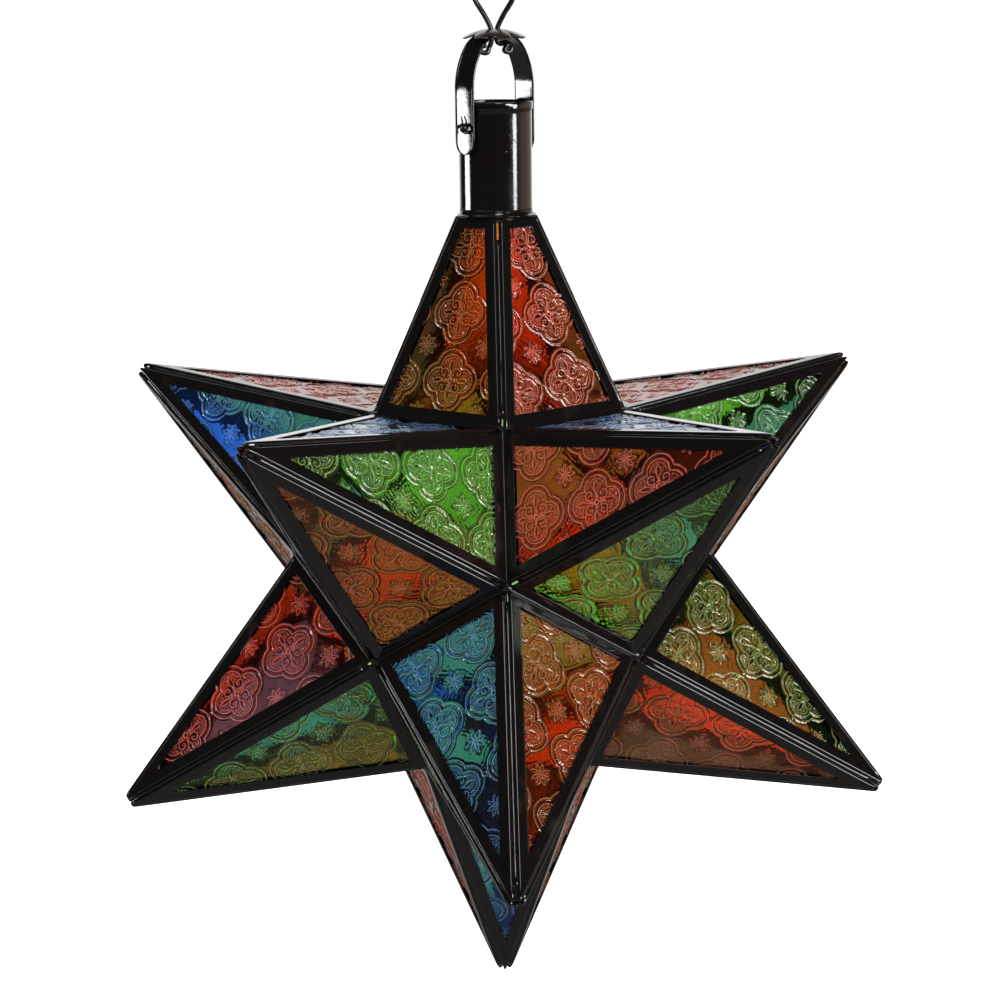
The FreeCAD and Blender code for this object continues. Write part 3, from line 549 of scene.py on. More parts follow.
def relief(u, v):
    """Height of the embossed pattern (0..1), its crest lines (the glass colour paints them pale as a painted
    highlight), the dotted field and the sunk diamonds (darkened as painted shade), at (u, v) in pitches; medallions
    sit on the whole numbers, flowers half way between them."""
    x = u - np.round(u)
    y = v - np.round(v)
    ax, ay = np.abs(x), np.abs(y)
    east = ax > ay
    # outline of four lobes: a groove between two fine crests
    c, r = 0.205, 0.262
    d = np.minimum(np.hypot(ax - c, ay), np.hypot(ax, ay - c)) - r
    crest = np.maximum(line(d + 0.010, 0.016), 0.9 * line(d + 0.086, 0.016))
    h = np.where(d > -0.048, 0.30 * np.clip(1 - d / 0.03, 0, 1), 0.30)
    h = h - 0.55 * line(d + 0.048, 0.034)
    bead = np.minimum(np.hypot(ax - 0.5, ay), np.hypot(ax, ay - 0.5))
    crest = np.maximum(crest, 0.9 * line(bead - 0.030, 0.013))
    field = np.clip((-d - 0.098) / 0.006, 0, 1)
    # four almond petals on the axes
    px = np.where(east, ax, ay)
    py = np.where(east, ay, ax)
    s = (px - 0.215) / 0.098
    wide = 0.034 * np.clip(1 - s * s, 0, 1)
    petal = np.where(np.abs(s) < 1.12, line(py - wide, 0.0125), 0)
    inner = (np.abs(s) < 1) & (py < wide)
    crest = np.maximum(crest, petal)
    h = np.where(inner, -0.15, h)
    field = np.where(inner | (petal > 0), 0, field)
    # stem from the petal to the centre
    stem = np.where((px < 0.125) & (px > 0.05), line(py - 0.008, 0.011), 0)
    crest = np.maximum(crest, 0.8 * stem)
    # scroll curls on the diagonals
    qx, qy = ax - 0.112, ay - 0.112
    qr = np.hypot(qx, qy)
    qa = np.mod(np.arctan2(qy, qx) + math.pi * 0.75, 2 * math.pi)
    disc = qr < 0.088
    curl = np.maximum(line(qr - (0.034 + 0.046 * qa / (2 * math.pi)), 0.0135), 0.9 * line(qr, 0.016))
    crest = np.where(disc & ~inner, np.maximum(crest * 0.0, curl), crest)
    h = np.where(disc, -0.10, h)
    field = np.where(disc, 0, field)
    # centre diamond
    cd = ax + ay
    crest = np.where(cd < 0.060, line(cd - 0.044, 0.015), crest)
    h = np.where(cd < 0.05, -0.2, h)
    field = np.where(cd < 0.075, 0, field)
    # flower between the medallions
    fx = u - np.floor(u) - 0.5
    fy = v - np.floor(v) - 0.5
    fr = np.hypot(fx, fy)
    fa = np.arctan2(fy, fx)
    k = np.mod(fa + math.pi / 8, math.pi / 4) - math.pi / 8
    a0, a1 = fr * np.cos(k), fr * np.sin(k)
    s = (a0 - 0.096) / 0.064
    wide = 0.024 * np.clip(1 - s * s, 0, 1)
    fl = np.where(np.abs(s) < 1.1, line(np.abs(a1) - wide, 0.0115), 0)
    crest = np.where(fr < 0.168, np.maximum(fl, 0.8 * line(fr - 0.020, 0.012)), crest)
    # diamonds behind the petals, sunk
    k4 = np.mod(fa + math.pi / 4, math.pi / 2) - math.pi / 4
    b0, b1 = fr * np.cos(k4), fr * np.sin(k4)
    dia = np.maximum(np.abs(b0 - 0.150) / 0.052 + np.abs(b1) / 0.052, 0)
    h = np.where((dia < 1) & (fr < 0.21), -0.45, h)
    sunk = np.where((dia < 1) & (fr < 0.21), 1.0, 0.0)
    h = np.clip(h, -0.5, 1) + 0.62 * crest
    return h, crest, field, sunk


def pane_rows(y0, y1, inset, step):
    """Row heights, points per row and the triangles of a zipper grid over a pane."""
    rows = max(2, int(round((y1 - y0) / step)))
    ys = np.linspace(y0, y1, rows + 1)
    m = [max(1, int(round(2 * half_width(y0, inset) / step)))]
    for y in ys[1:]:
        want = max(1, int(round(2 * half_width(y, inset) / step)))
        m.append(max(want, m[-1] - 1))
    start = np.concatenate([[0], np.cumsum([k + 1 for k in m])])
    xy, tris = [], []
    for j, y in enumerate(ys):
        w = half_width(y, inset)
        xy.append(np.stack([np.linspace(-w, w, m[j] + 1), np.full(m[j] + 1, y)], 1))
    for j in range(rows):
        a, b = m[j], m[j + 1]
        s0, s1 = start[j], start[j + 1]
        if b == a:
            i = np.arange(a)
            if j % 2:
                tris.append(np.stack([s0 + i, s0 + i + 1, s1 + i + 1], 1))
                tris.append(np.stack([s0 + i, s1 + i + 1, s1 + i], 1))
            else:
                tris.append(np.stack([s0 + i, s0 + i + 1, s1 + i], 1))
                tris.append(np.stack([s0 + i + 1, s1 + i + 1, s1 + i], 1))
        else:
            i = np.arange(b + 1)
            tris.append(np.stack([s0 + i, s0 + i + 1, s1 + i], 1))
            i = np.arange(b)
            tris.append(np.stack([s0 + i + 1, s1 + i + 1, s1 + i], 1))
    left = start[:-1]
    right = start[1:] - 1
    return np.concatenate(xy), np.concatenate(tris), left, right


STEP = 0.42
RISE = 0.50
# turn (degrees) and shift (pitches) of the pattern on each pane: {point: {neighbour: (turn, su, sv)}}
LAY = {"upper_front_right": {"upper_front_left": (0.0, -0.243, 0.49), "lower_front": (1.0, 0.135, 0.002)},
       "top": {"upper_front_right": (5.0, -0.295, 0.459), "upper_front_left": (2.0, -0.112, 0.389)}}


def pane_glass(name, k):
    nb = pane_neighbour(name, k)
    org, ax = pane_frame(name, k)
    gap = 0.4 if name == "upper_back" else 0.06
    edge = SHEET + 0.15
    inset = RIDGE + edge
    y0 = gap + edge
    y1 = (NECK_CUT - edge) if name == "top" else tip_y(inset, 0.5)
    xy, tris, left, right = pane_rows(y0, y1, inset, STEP)
    seed = ALL_TIPS.index(name) * 5 + k
    g = np.random.default_rng(100 + seed)
    turn, su, sv = LAY.get(name, {}).get(nb) or (g.uniform(-6, 6) + g.choice([0, 90]), g.uniform(), g.uniform())
    t = math.radians(turn)
    u = (xy[:, 0] * math.cos(t) + xy[:, 1] * math.sin(t)) / PITCH + su
    v = (-xy[:, 0] * math.sin(t) + xy[:, 1] * math.cos(t)) / PITCH + sv
    wave = 0.05 * np.sin(xy[:, 0] / 9 + seed) * np.cos(xy[:, 1] / 11 + 2 * seed)
    h, crest, field, sunk = relief(u, v)
    hammer = 0.030 * np.sin(xy[:, 0] * 2.05 + 1.3 * np.sin(xy[:, 1] * 0.9 + seed)) * np.sin(xy[:, 1] * 2.3 + np.sin(xy[:, 0] * 0.7))
    z = -0.45 - RISE - 0.05 + RISE * h + wave * 0.7 + hammer
    z = np.minimum(z, -0.455)
    e = 0.006
    gu = (relief(u + e, v)[0] - relief(u - e, v)[0]) / (2 * e * PITCH)
    gv = (relief(u, v + e)[0] - relief(u, v - e)[0]) / (2 * e * PITCH)
    # painted shade mask: steep relief slopes and the sunk diamonds, later used to darken the glass colour
    slope_shade_mask = np.clip(np.hypot(gu, gv) * RISE / 0.62, 0, 1) * (1 - crest * 0.7)
    slope_shade_mask = np.maximum(slope_shade_mask, sunk * 0.8 * (1 - crest))
    # Relief attribute: R the crest mask (painted highlight), G the slope mask (painted shade), B the dotted field
    marks = np.ones((len(xy) + 4, 4))
    marks[:-4, 0], marks[:-4, 1], marks[:-4, 2] = crest, slope_shade_mask, field
    marks[-4:, :3] = 0
    n = len(xy)
    top = np.column_stack([xy, z])
    zb = -0.45 - 1.9
    w0, w1 = half_width(y0, inset), half_width(y1, inset)
    low = np.array([[-w0, y0, zb], [w0, y0, zb], [w1, y1, zb], [-w1, y1, zb]])
    B = n + np.arange(4)
    side = []
    L, Rr = left, right
    side.append(np.stack([L[1:], L[:-1], np.full(len(L) - 1, B[0])], 1))
    side.append([[L[-1], B[0], B[3]]])
    side.append(np.stack([Rr[:-1], Rr[1:], np.full(len(Rr) - 1, B[2])], 1))
    side.append([[Rr[0], B[2], B[1]]])
    first = np.arange(L[0], Rr[0] + 1)
    side.append(np.stack([first[:-1], first[1:], np.full(len(first) - 1, B[1])], 1)[:, ::1])
    side.append([[first[0], B[1], B[0]]])
    last = np.arange(L[-1], Rr[-1] + 1)
    side.append(np.stack([last[1:], last[:-1], np.full(len(last) - 1, B[3])], 1))
    side.append([[last[-1], B[3], B[2]]])
    sides = np.concatenate([np.asarray(s) for s in side])
    sides[:] = sides
    verts = np.vstack([top, low])
    world = org + verts @ ax.T
    uv = np.column_stack([np.append(u, [u[0]] * 4), np.append(v, [v[0]] * 4)])
    return world, tris, sides, np.array([[B[3], B[2], B[1], B[0]]]), uv, marks


groups = {}
for name in TIPS:
    for k in range(5):
        groups.setdefault((name, COL[name][pane_neighbour(name, k)]), []).append(k)
for (name, colour), ks in groups.items():
    V, T, S, Q, UVs, M, n = [], [], [], [], [], [], 0
    for k in ks:
        w, t, s, q, uv, mk = pane_glass(name, k)
        V.append(w); T.append(t + n); S.append(s + n); Q.append(q + n); UVs.append(uv); M.append(mk)
        n += len(w)
    ob = add_mesh("glass_%s_%s" % (name, colour), np.concatenate(V),
                  [np.concatenate(T), np.concatenate(S), np.concatenate(Q)],
                  [True, False, False], uv=np.concatenate(UVs), marks=np.concatenate(M))
    use(ob, GLASS[colour])
    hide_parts("glass_%s_%s" % (tier(name), colour))
    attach(ob, body_of_point(name))


# ------------------------------------------------------------ folded channels
def channel_profile():
    """Closed outline of the folded sheet: (distance in from the outer edge, height)."""
    r, ri = 0.88, 0.46
    pts = []
    for a in np.linspace(90, 180, 6):                 # outer fold, top
        pts.append((r + r * math.cos(math.radians(a)), -r + r * math.sin(math.radians(a))))
    for a in np.linspace(180, 270, 5):                # outer fold, bottom
        pts.append((r + r * math.cos(math.radians(a)), -DEPTH + r + r * math.sin(math.radians(a))))
    pts += [(2.6, -DEPTH), (FLANGE - 0.12, -DEPTH), (FLANGE, -DEPTH + 0.12), (FLANGE, -DEPTH + SHEET - 0.08),
            (FLANGE - 0.1, -DEPTH + SHEET), (2.6, -DEPTH + SHEET)]
    for a in np.linspace(270, 180, 4):
        pts.append((SHEET + ri + ri * math.cos(math.radians(a)), -DEPTH + SHEET + ri + ri * math.sin(math.radians(a))))
    for a in np.linspace(180, 90, 4):
        pts.append((SHEET + ri + ri * math.cos(math.radians(a)), -SHEET - ri + ri * math.sin(math.radians(a))))
    pts += [(2.6, -SHEET), (FLANGE - 0.1, -SHEET), (FLANGE, -SHEET + 0.08), (FLANGE, -0.14),
            (FLANGE - 0.07, -0.04), (FLANGE - 0.2, 0.0), (3.9, 0.0), (2.6, 0.0), (1.3, 0.0)]
    return np.array(pts)


PROFILE = channel_profile()


def channel(build, name, k):
    org, ax = pane_frame(name, k)
    gap = 0.4 if name == "upper_back" else 0.06
    seed = 1000 + ALL_TIPS.index(name) * 5 + k
    seg_len = 5.0
    rings = []
    d, z = PROFILE[:, 0], PROFILE[:, 1]

    def corners(dd):
        ins = RIDGE + dd
        y0 = gap + dd
        if name == "top":
            y1 = NECK_CUT - dd
        else:
            y1 = tip_y(ins, 0.5)
        return y0, y1, half_width(y0, ins), half_width(y1, ins)

    y0, y1, w0, w1 = corners(d)
    C = [np.column_stack([-w0, y0 + 0 * d]), np.column_stack([w0, y0 + 0 * d]),
         np.column_stack([w1, y1 + 0 * d]), np.column_stack([-w1, y1 + 0 * d])]
    s_all = 0.0
    edge_dir = []
    for e in range(4):
        A, Bc = C[e], C[(e + 1) % 4]
        length = float(np.linalg.norm(Bc[0] - A[0]))
        m = max(1, int(length / seg_len))
        dirv = unit((Bc - A).mean(0))
        inward = np.array([-dirv[1], dirv[0]])
        for i in range(m):
            f = i / m
            p = A * (1 - f) + Bc * f
            s = s_all + f * length
            fade = min(1.0, 4 * f, 4 * (1 - f)) if m > 1 else 0.0
            lip = np.clip((d - 2.0) / 3.0, 0, 1)
            wob = 0.14 * smooth_noise(s, seed, 17.0) + 0.05 * smooth_noise(s, seed + 7, 5.5)
            p = p + inward * (wob * fade * lip)[:, None]
            dz = (0.06 * smooth_noise(s, seed + 3, 13.0) - 0.06) * fade
            zz = z + dz * np.where(z > -1.0, lip * 0.8 + 0.2, 0)
            rings.append(np.column_stack([p, np.minimum(zz, 0.0)]))
        s_all += length
    R = len(rings)
    P = len(d)
    verts = np.concatenate(rings)
    world = org + verts @ ax.T
    build.add(world, grid_faces(R, P, wrap_r=True, wrap_c=True))


for name in TIPS:
    b = Build()
    for k in range(5):
        channel(b, name, k)
    ob = outward(b.make("channels_" + name))
    use(ob, BLACK)
    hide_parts("frames_" + name)
    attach(ob, body_of_point(name))


# ------------------------------------------------------------------- solder
def lumpy_run(build, start, along, side, out, length, wide, high, seed, sag=0.35, seg=3.2):
    """Solder lying in a V groove: its bottom is at start, its face lumpy."""
    n = max(3, int(length / seg))
    cols = 9
    top = []
    for i in range(n + 1):
        s = length * i / n
        hh = high * (1 + 0.14 * smooth_noise(s, seed, 9.0) + 0.07 * smooth_noise(s, seed + 1, 3.3))
        ends = min(1.0, (i + 0.6) / 1.6, (n - i + 0.6) / 1.6)
        ww = wide * hh / high
        row = []
        for c in np.linspace(-1, 1, cols):
            # a shallow crown between the two flanks
            row.append(start + along * s + side * (c * ww) + out * (hh * ends - sag * (1 - abs(c) ** 2) * 0.0
                                                                    + 0.28 * (1 - c * c) * ends))
        row.append(start + along * s + out * 0.02)
        top.append(row)
    verts = np.array(top).reshape(-1, 3)
    cols += 1
    quads = grid_faces(n + 1, cols, wrap_c=True)
    tris = []
    for base in (0, n * cols):
        for c in range(cols - 2):
            tris.append([base + cols - 1, base + c, base + c + 1])
    build.add(verts, quads, tris)


def blob(build, centre, normal, rx, rz, seed, rings=7, seg=18):
    g = np.random.default_rng(seed)
    n = unit(normal)
    ref = np.array([0, 0, 1.0]) if abs(n[2]) < 0.9 else np.array([1.0, 0, 0])
    u = unit(np.cross(n, ref))
    w = np.cross(n, u)
    a = np.linspace(0, 2 * math.pi, seg, endpoint=False)
    ph = g.uniform(0, 6.28, 3)
    lob = 1 + 0.10 * np.cos(2 * a + ph[0]) + 0.07 * np.cos(3 * a + ph[1]) + 0.04 * np.cos(5 * a + ph[2])
    verts = []
    for i in range(rings):
        t = math.pi * (i + 0.5) / rings
        verts.append(centre + n * (rz * math.cos(t)) + (rx * math.sin(t) * lob)[:, None]
                     * (np.cos(a)[:, None] * u + np.sin(a)[:, None] * w))
    verts = np.concatenate(verts + [[centre + n * rz], [centre - n * rz]])
    quads = grid_faces(rings, seg, wrap_c=True)
    i = np.arange(seg)
    tris = np.concatenate([np.stack([np.full(seg, rings * seg), i, (i + 1) % seg], 1),
                           np.stack([np.full(seg, rings * seg + 1), (rings - 1) * seg + i,
                                     (rings - 1) * seg + (i + 1) % seg], 1)])
    build.add(verts, quads, tris)


for name in TIPS:
    P = point_frame(name)
    b = Build()
    for k in range(5):
        m = math.radians(72 * k)
        r = np.array([math.cos(m), math.sin(m), 0.0])
        corner = r * BASE_R + np.array([0, 0, BASE_Z])
        along = unit(np.array([-r[0] * BASE_R, -r[1] * BASE_R, HEIGHT]))
        out = unit(np.array([r[0] * HEIGHT, r[1] * HEIGHT, BASE_R]))
        side = np.cross(out, along)
        start = corner + along * 5.0 - out * (DEPTH / math.cos(FOLD / 2) - 0.06)
        length = 80.0 if name == "top" else 121.5
        lumpy_run(b, P @ start, P @ along, P @ side, P @ out, length,
                  1.35 * math.tan(FOLD / 2) - 0.05, 1.35, 40 + ALL_TIPS.index(name) * 5 + k)
    ob = outward(b.make("solder_run_" + name))
    use(ob, BLACK_SOLDER)
    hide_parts("solder_" + name)
    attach(ob, body_of_point(name))

# blobs and fillets of solder where the points meet, all on the lantern's side
b = Build()
count = 0
for i, (keys, v) in enumerate(VERTS):
    if "upper_back" in keys:
        continue
    n = unit(v)
    blob(b, v * (1 - 2.6 / CORE), n, 2.9, 2.3, 300 + i)
done = set()
for i, (k1, v1) in enumerate(VERTS):
    for j, (k2, v2) in enumerate(VERTS):
        common = set(k1) & set(k2)
        if j <= i or len(common) != 2 or "upper_back" in common:
            continue
        a, c = sorted(common)
        along = unit(v2 - v1)
        out = unit(TIPS[a] + TIPS[c])
        L = np.linalg.norm(v2 - v1)
        # path a hair under the valley line, lumpy wire of solder
        s = np.linspace(1.5, L - 1.5, 26)
        rr = 0.62 * (1 + 0.16 * smooth_noise(s, 500 + i * 20 + j, 7.0))
        path = v1 + along * s[:, None] + out * (0.10 - 0.05)
        tube(b, path, rr, seg=8)
ob = outward(b.make("solder_joints"))
use(ob, BLACK_SOLDER)
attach(ob, "lantern")


# --------------------------------------------------------------- neck tube
def revolve(build, prof, seg=96, wob=0.0, seed=0, closed=True):
    prof = np.asarray(prof, float)
    a = np.linspace(0, 2 * math.pi, seg, endpoint=False)
    dr = wob * (np.cos(2 * a + seed) + 0.5 * np.cos(3 * a + 2 * seed))
    ring = []
    for r, z in prof:
        rr = r + dr * (1 if r > 1 else 0)
        ring.append(np.column_stack([rr * np.cos(a), rr * np.sin(a), np.full(seg, z)]))
    verts = np.concatenate(ring)
    build.add(verts, grid_faces(len(prof), seg, wrap_r=closed, wrap_c=True))


b = Build()
prof = [(15.55, 163.1), (16.05, 163.1), (16.05, 166), (16.03, 172), (16.05, 180), (16.04, 190), (16.05, 200),
        (16.05, 206.6), (16.07, 207.7), (16.16, 208.2), (16.34, 208.45), (16.46, 208.8), (16.5, 209.4),
        (16.5, 210.6), (16.46, 211.3), (16.34, 211.75), (16.14, 211.96), (15.92, 212.0), (15.72, 211.9),
        (15.58, 211.65), (15.55, 211.2), (15.55, 205), (15.55, 190), (15.55, 175)]
revolve(b, prof, 128, wob=0.03, seed=1.3)
ob = outward(b.make("neck_chimney"))
use(ob, BLACK)
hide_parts("neck_tube")
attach(ob, "lantern")

# two old scratches whose raised lips catch the light
b = Build()
for (x0, z0, x1, z1, rr) in ((5.1, 198.9, 9.3, 193.8, 0.26), (2.3, 189.6, 4.9, 191.5, 0.30), (6.1, 171.5, 13.2, 169.6, 0.20)):
    xs, zs = np.linspace(x0, x1, 9), np.linspace(z0, z1, 9)
    pts = np.column_stack([xs, -np.sqrt(15.97 ** 2 - xs ** 2), zs])
    tube(b, pts, rr * np.sin(np.linspace(0.25, 2.9, 9)), seg=8)
ob = outward(b.make("chimney_scratches"))
use(ob, BLACK_STRAP)
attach(ob, "lantern")

# solder where tube and star meet
b = Build()
seg = 120
a = np.linspace(0, 2 * math.pi, seg, endpoint=False)
rings = []
lump = 1 + 0.22 * smooth_noise(a * 16, 71, 8.0) + 0.12 * smooth_noise(a * 16, 72, 3.0)
for t in np.linspace(0, 1, 7):
    ang = t * math.pi / 2
    rr = 16.02 + 2.1 * lump * (1 - math.sin(ang)) * (1 - 0.1 * t)
    zz = 163.1 + 2.5 * lump * (1 - math.cos(ang))
    rings.append(np.column_stack([rr * np.cos(a), rr * np.sin(a), zz]))
rings.append(np.column_stack([16.0 * np.cos(a), 16.0 * np.sin(a), np.full(seg, 163.11)]))
b.add(np.concatenate(rings), grid_faces(len(rings), seg, wrap_r=True, wrap_c=True))
ob = outward(b.make("neck_fillet"))
use(ob, BLACK_SOLDER)
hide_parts("solder_neck")
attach(ob, "lantern")

# ------------------------------------------------------------- strap handle
PIN_DIR = math.radians(40)
HX = np.array([math.cos(PIN_DIR), math.sin(PIN_DIR), 0.0])
HY = np.array([-math.sin(PIN_DIR), math.cos(PIN_DIR), 0.0])
HZ = np.array([0, 0, 1.0])
S_MID, S_FOOT, S_SPRING, S_SIDE, S_CROWN = 17.45, 189.5, 217.0, 32.0, 14.94


def strap_path(n_leg=14, n_arc=18, n_top=30):
    """Points (x, z) and outward normals along the middle of the strap, right foot to left foot."""
    cx = S_MID - S_SIDE
    dz = math.sqrt((S_SIDE - S_CROWN) ** 2 - cx ** 2)
    zc = S_SPRING + dz
    phi = math.atan2(dz, -cx)
    P, N = [], []
    for z in np.linspace(S_FOOT, S_SPRING, n_leg, endpoint=False):
        P.append((S_MID, z)); N.append((1, 0))
    for a in np.linspace(0, phi, n_arc, endpoint=False):
        P.append((cx + S_SIDE * math.cos(a), S_SPRING + S_SIDE * math.sin(a))); N.append((math.cos(a), math.sin(a)))
    for a in np.linspace(phi, math.pi - phi, n_top, endpoint=False):
        P.append((S_CROWN * math.cos(a), zc + S_CROWN * math.sin(a))); N.append((math.cos(a), math.sin(a)))
    for a in np.linspace(math.pi - phi, math.pi, n_arc, endpoint=False):
        P.append((-cx + S_SIDE * math.cos(a), S_SPRING + S_SIDE * math.sin(a))); N.append((math.cos(a), math.sin(a)))
    for z in np.linspace(S_SPRING, S_FOOT, n_leg + 1):
        P.append((-S_MID, z)); N.append((-1, 0))
    return np.array(P), np.array(N)


def to_handle(p):
    p = np.asarray(p, float)
    return p[:, :1] * HX + p[:, 1:2] * HY + p[:, 2:3] * HZ


SP, SN = strap_path()
for tag, sgn in (("front", -1), ("back", 1)):
    b = Build()
    s = np.concatenate([[0], np.cumsum(np.linalg.norm(np.diff(SP, axis=0), axis=1))])
    total = s[-1]
    wid = []
    for q in s:
        e = min(q, total - q)
        wid.append(0.4 + math.sqrt(max(0.0, 5.6 ** 2 - (5.6 - min(e, 5.6)) ** 2)))
    wid = np.array(wid) - 0.55
    keep = wid > 0.6
    pts = np.column_stack([SP[:, 0], sgn * (wid + 0.02 * smooth_noise(s, 91, 6.0)), SP[:, 1]])[keep]
    tube(b, to_handle(pts), 0.60, seg=12)
    ob = outward(b.make("strap_hem_" + tag))
    use(ob, BLACK_STRAP)
    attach(ob, "handle")


def soften(node_name, width=0.0003, segments=3, angle=32):
    ob = NODES[node_name]
    w = ob.modifiers.new("weld", "WELD")
    w.merge_threshold = 0.00001
    m = ob.modifiers.new("soft_edges", "BEVEL")
    m.width = width
    m.segments = segments
    m.limit_method = "ANGLE"
    m.angle_limit = math.radians(angle)
    m.harden_normals = True
    return ob


s = np.concatenate([[0], np.cumsum(np.linalg.norm(np.diff(SP, axis=0), axis=1))])
total = s[-1]
fine = np.unique(np.concatenate([np.linspace(0, 6.2, 16), np.linspace(6.2, total - 6.2, 120), np.linspace(total - 6.2, total, 16)]))
px = np.interp(fine, s, SP[:, 0]); pz = np.interp(fine, s, SP[:, 1])
nx = np.interp(fine, s, SN[:, 0]); nz = np.interp(fine, s, SN[:, 1])
nl = np.hypot(nx, nz); nx, nz = nx / nl, nz / nl
b = Build()
rings = []
w = np.linspace(-1, 1, 17)
for q, X, Z, NX, NZ in zip(fine, px, pz, nx, nz):
    e = min(q, total - q)
    half = 0.4 + math.sqrt(max(0.0, 5.6 ** 2 - (5.6 - min(e, 5.6)) ** 2))
    half = min(half, 5.98)
    dent = 0.10 * smooth_noise(q + w * 3, 95, 11.0)
    out_off = 0.47 - 0.34 * np.abs(w) ** 2.2 - 0.05 + dent * 0.5
    in_off = -0.5 + 0.10 * np.abs(w) ** 4
    outer = np.column_stack([X + NX * out_off, w * half, Z + NZ * out_off])
    inner = np.column_stack([X + NX * in_off, w * half * 0.985, Z + NZ * in_off])[::-1]
    rings.append(np.vstack([outer, inner]))
nr_, nc_ = len(rings), 34
V = np.concatenate(rings)
b.add(to_handle(V), grid_faces(nr_, nc_, wrap_c=True), [])
caps = []
for base in (0, (nr_ - 1) * nc_):
    for i in range(16):
        caps.append([base + i, base + i + 1, base + 32 - i]); caps.append([base + i, base + 32 - i, base + 33 - i])
b.t.append(np.array(caps))
ob = outward(b.make("strap_handle"))
use(ob, BLACK_STRAP)
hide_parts("handle_strap")
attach(ob, "handle")

# ---------------------------------------------------------------- split pins
for label, s in (("split_pin_right", 1), ("split_pin_left", -1)):
    b = Build()
    u = HX * s
    o0 = np.array([0, 0, 201.5])
    path = [o0 + u * t for t in (14.2, 15.6, 17.0, 18.3)]
    tube(b, np.array(path), 0.95, seg=14)
    blob(b, o0 + u * 14.6, u, 2.0, 0.55, 5 if s > 0 else 6)
    if s > 0:
        tube(b, catmull([o0 + u * 17.8, o0 + u * 19.2 + HZ * 0.1, o0 + u * 20.6 + HZ * 0.05 - HY * 0.3,
                         o0 + u * 22.0 + HZ * 0.25 - HY * 0.8], 6), np.linspace(0.75, 0.32, 19), seg=10, lump=0.06, seed=3)
        tube(b, catmull([o0 + u * 17.9, o0 + u * 18.8 + HY * 1.0 - HZ * 0.3, o0 + u * 18.9 + HY * 2.2 - HZ * 0.8], 6),
             0.5, seg=10)
    else:
        # two ends of the wire twisted over each other
        tube(b, catmull([o0 + u * 17.8, o0 + u * 18.9 - HY * 1.3 + HZ * 1.0, o0 + u * 19.6 - HY * 3.0 + HZ * 0.2,
                         o0 + u * 19.0 - HY * 3.6 - HZ * 1.6, o0 + u * 18.8 - HY * 1.8 - HZ * 2.2,
                         o0 + u * 19.0 + HY * 0.6 - HZ * 1.2], 7), 0.72, seg=10, lump=0.06, seed=8)
        tube(b, catmull([o0 + u * 17.9, o0 + u * 19.3 + HY * 1.0 + HZ * 0.8, o0 + u * 20.4 + HY * 1.6 - HZ * 0.6,
                         o0 + u * 21.0 + HY * 0.6 - HZ * 2.2], 7), np.linspace(0.8, 0.42, 22), seg=10, lump=0.06, seed=9)
        tube(b, catmull([o0 + u * 18.6, o0 + u * 19.0 - HY * 0.2 + HZ * 2.4, o0 + u * 18.8 + HY * 0.9 + HZ * 4.6], 7),
             np.linspace(0.62, 0.3, 15), seg=10, lump=0.06, seed=10)
        blob(b, o0 + u * 18.9, u, 1.9, 0.8, 12)
    ob = outward(b.make("pin_wire_" + ("right" if s > 0 else "left")))
    use(ob, WIRE_PAINT)
    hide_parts(label)
    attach(ob, "lantern")

# -------------------------------------------------------------- flower washer
b = Build()
seg, nr = 160, 15
a = np.linspace(0, 2 * math.pi, seg, endpoint=False)
top, bot = [], []
for i in range(nr):
    f = i / (nr - 1)
    petal = 14.0 * (1 - 0.20 * (0.5 - 0.5 * np.cos(8 * a + math.pi)) ** 3)
    r = 2.8 + (petal - 2.8) * f
    crease = 0.35 * np.clip(f - 0.25, 0, 1) * (0.5 - 0.5 * np.cos(8 * a + math.pi)) ** 2
    flip = 0.35 * smooth_noise(a * 10, 33, 9.0) * f ** 3
    base = 216.09 + np.sqrt(np.maximum(0, 26.55 ** 2 - r ** 2)) - crease + flip
    dome = 0.9 * np.exp(-(f / 0.16) ** 2)
    th = 0.32
    top.append(np.column_stack([r * np.cos(a), r * np.sin(a), base + th * (1 - 0.4 * f ** 8) + 0.15 * dome * 0]))
    bot.append(np.column_stack([r * np.cos(a), r * np.sin(a), base - th * (1 - 0.4 * f ** 8)]))
rings = top + bot[::-1]
V = np.concatenate(rings)
V = V[:, :1] * HX + V[:, 1:2] * HY + V[:, 2:3] * HZ
b.add(V, grid_faces(len(rings), seg, wrap_r=True, wrap_c=True))
ob = outward(b.make("flower_cap"))
use(ob, WIRE_PAINT)
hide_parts("flower_washer")
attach(ob, "handle")

# ---------------------------------------------------------------- wire eye
b = Build()
half = [(1.25, 237.6), (1.25, 241.5), (1.9, 244.2), (4.4, 249.0), (7.9, 254.7), (10.0, 261.0), (9.7, 268.0),
        (6.6, 274.6), (0.0, 277.9)]
# right end: flattened curl; left end: tight disc
right_end = [(5.6, 236.0, -1.2), (4.4, 233.6, -1.6), (6.6, 232.9, -0.6), (7.4, 235.2, 0.2), (5.2, 236.9, 0.3),
             (2.9, 236.4, 0.1)]
left_end = [(-4.3, 235.6, -1.5), (-6.0, 235.0, -1.2), (-5.6, 233.0, -1.0), (-3.2, 232.7, -0.4), (-2.2, 234.8, 0.2)]
pts = [np.array([x, y, z]) for x, z, y in left_end]
pts += [np.array([-x, 0, z]) for x, z in half]
pts += [np.array([x, 0, z]) for x, z in reversed(half[:-1])]
pts += [np.array([x, y, z]) for x, z, y in reversed(right_end)]
path = catmull(pts, 9)
tube(b, path, 1.13, seg=16, lump=0.02, seed=21)
ob = outward(b.make("eye_wire_loop"))
use(ob, WIRE_PAINT)
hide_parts("hanging_eye")
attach(ob, "eye")

# --------------------------------------------------- carried-over CAD nodes
for n in ("candle_cup", "cup_bridge"):
    use(soften(n, 0.00022, 3), TINNED)
for n in ("hinge_leaf_door", "hinge_leaf_body", "door_stops"):
    use(soften(n, 0.00012, 2), BLACK)
use(soften("hinge_pin", 0.0001, 2), PLAIN_WIRE)

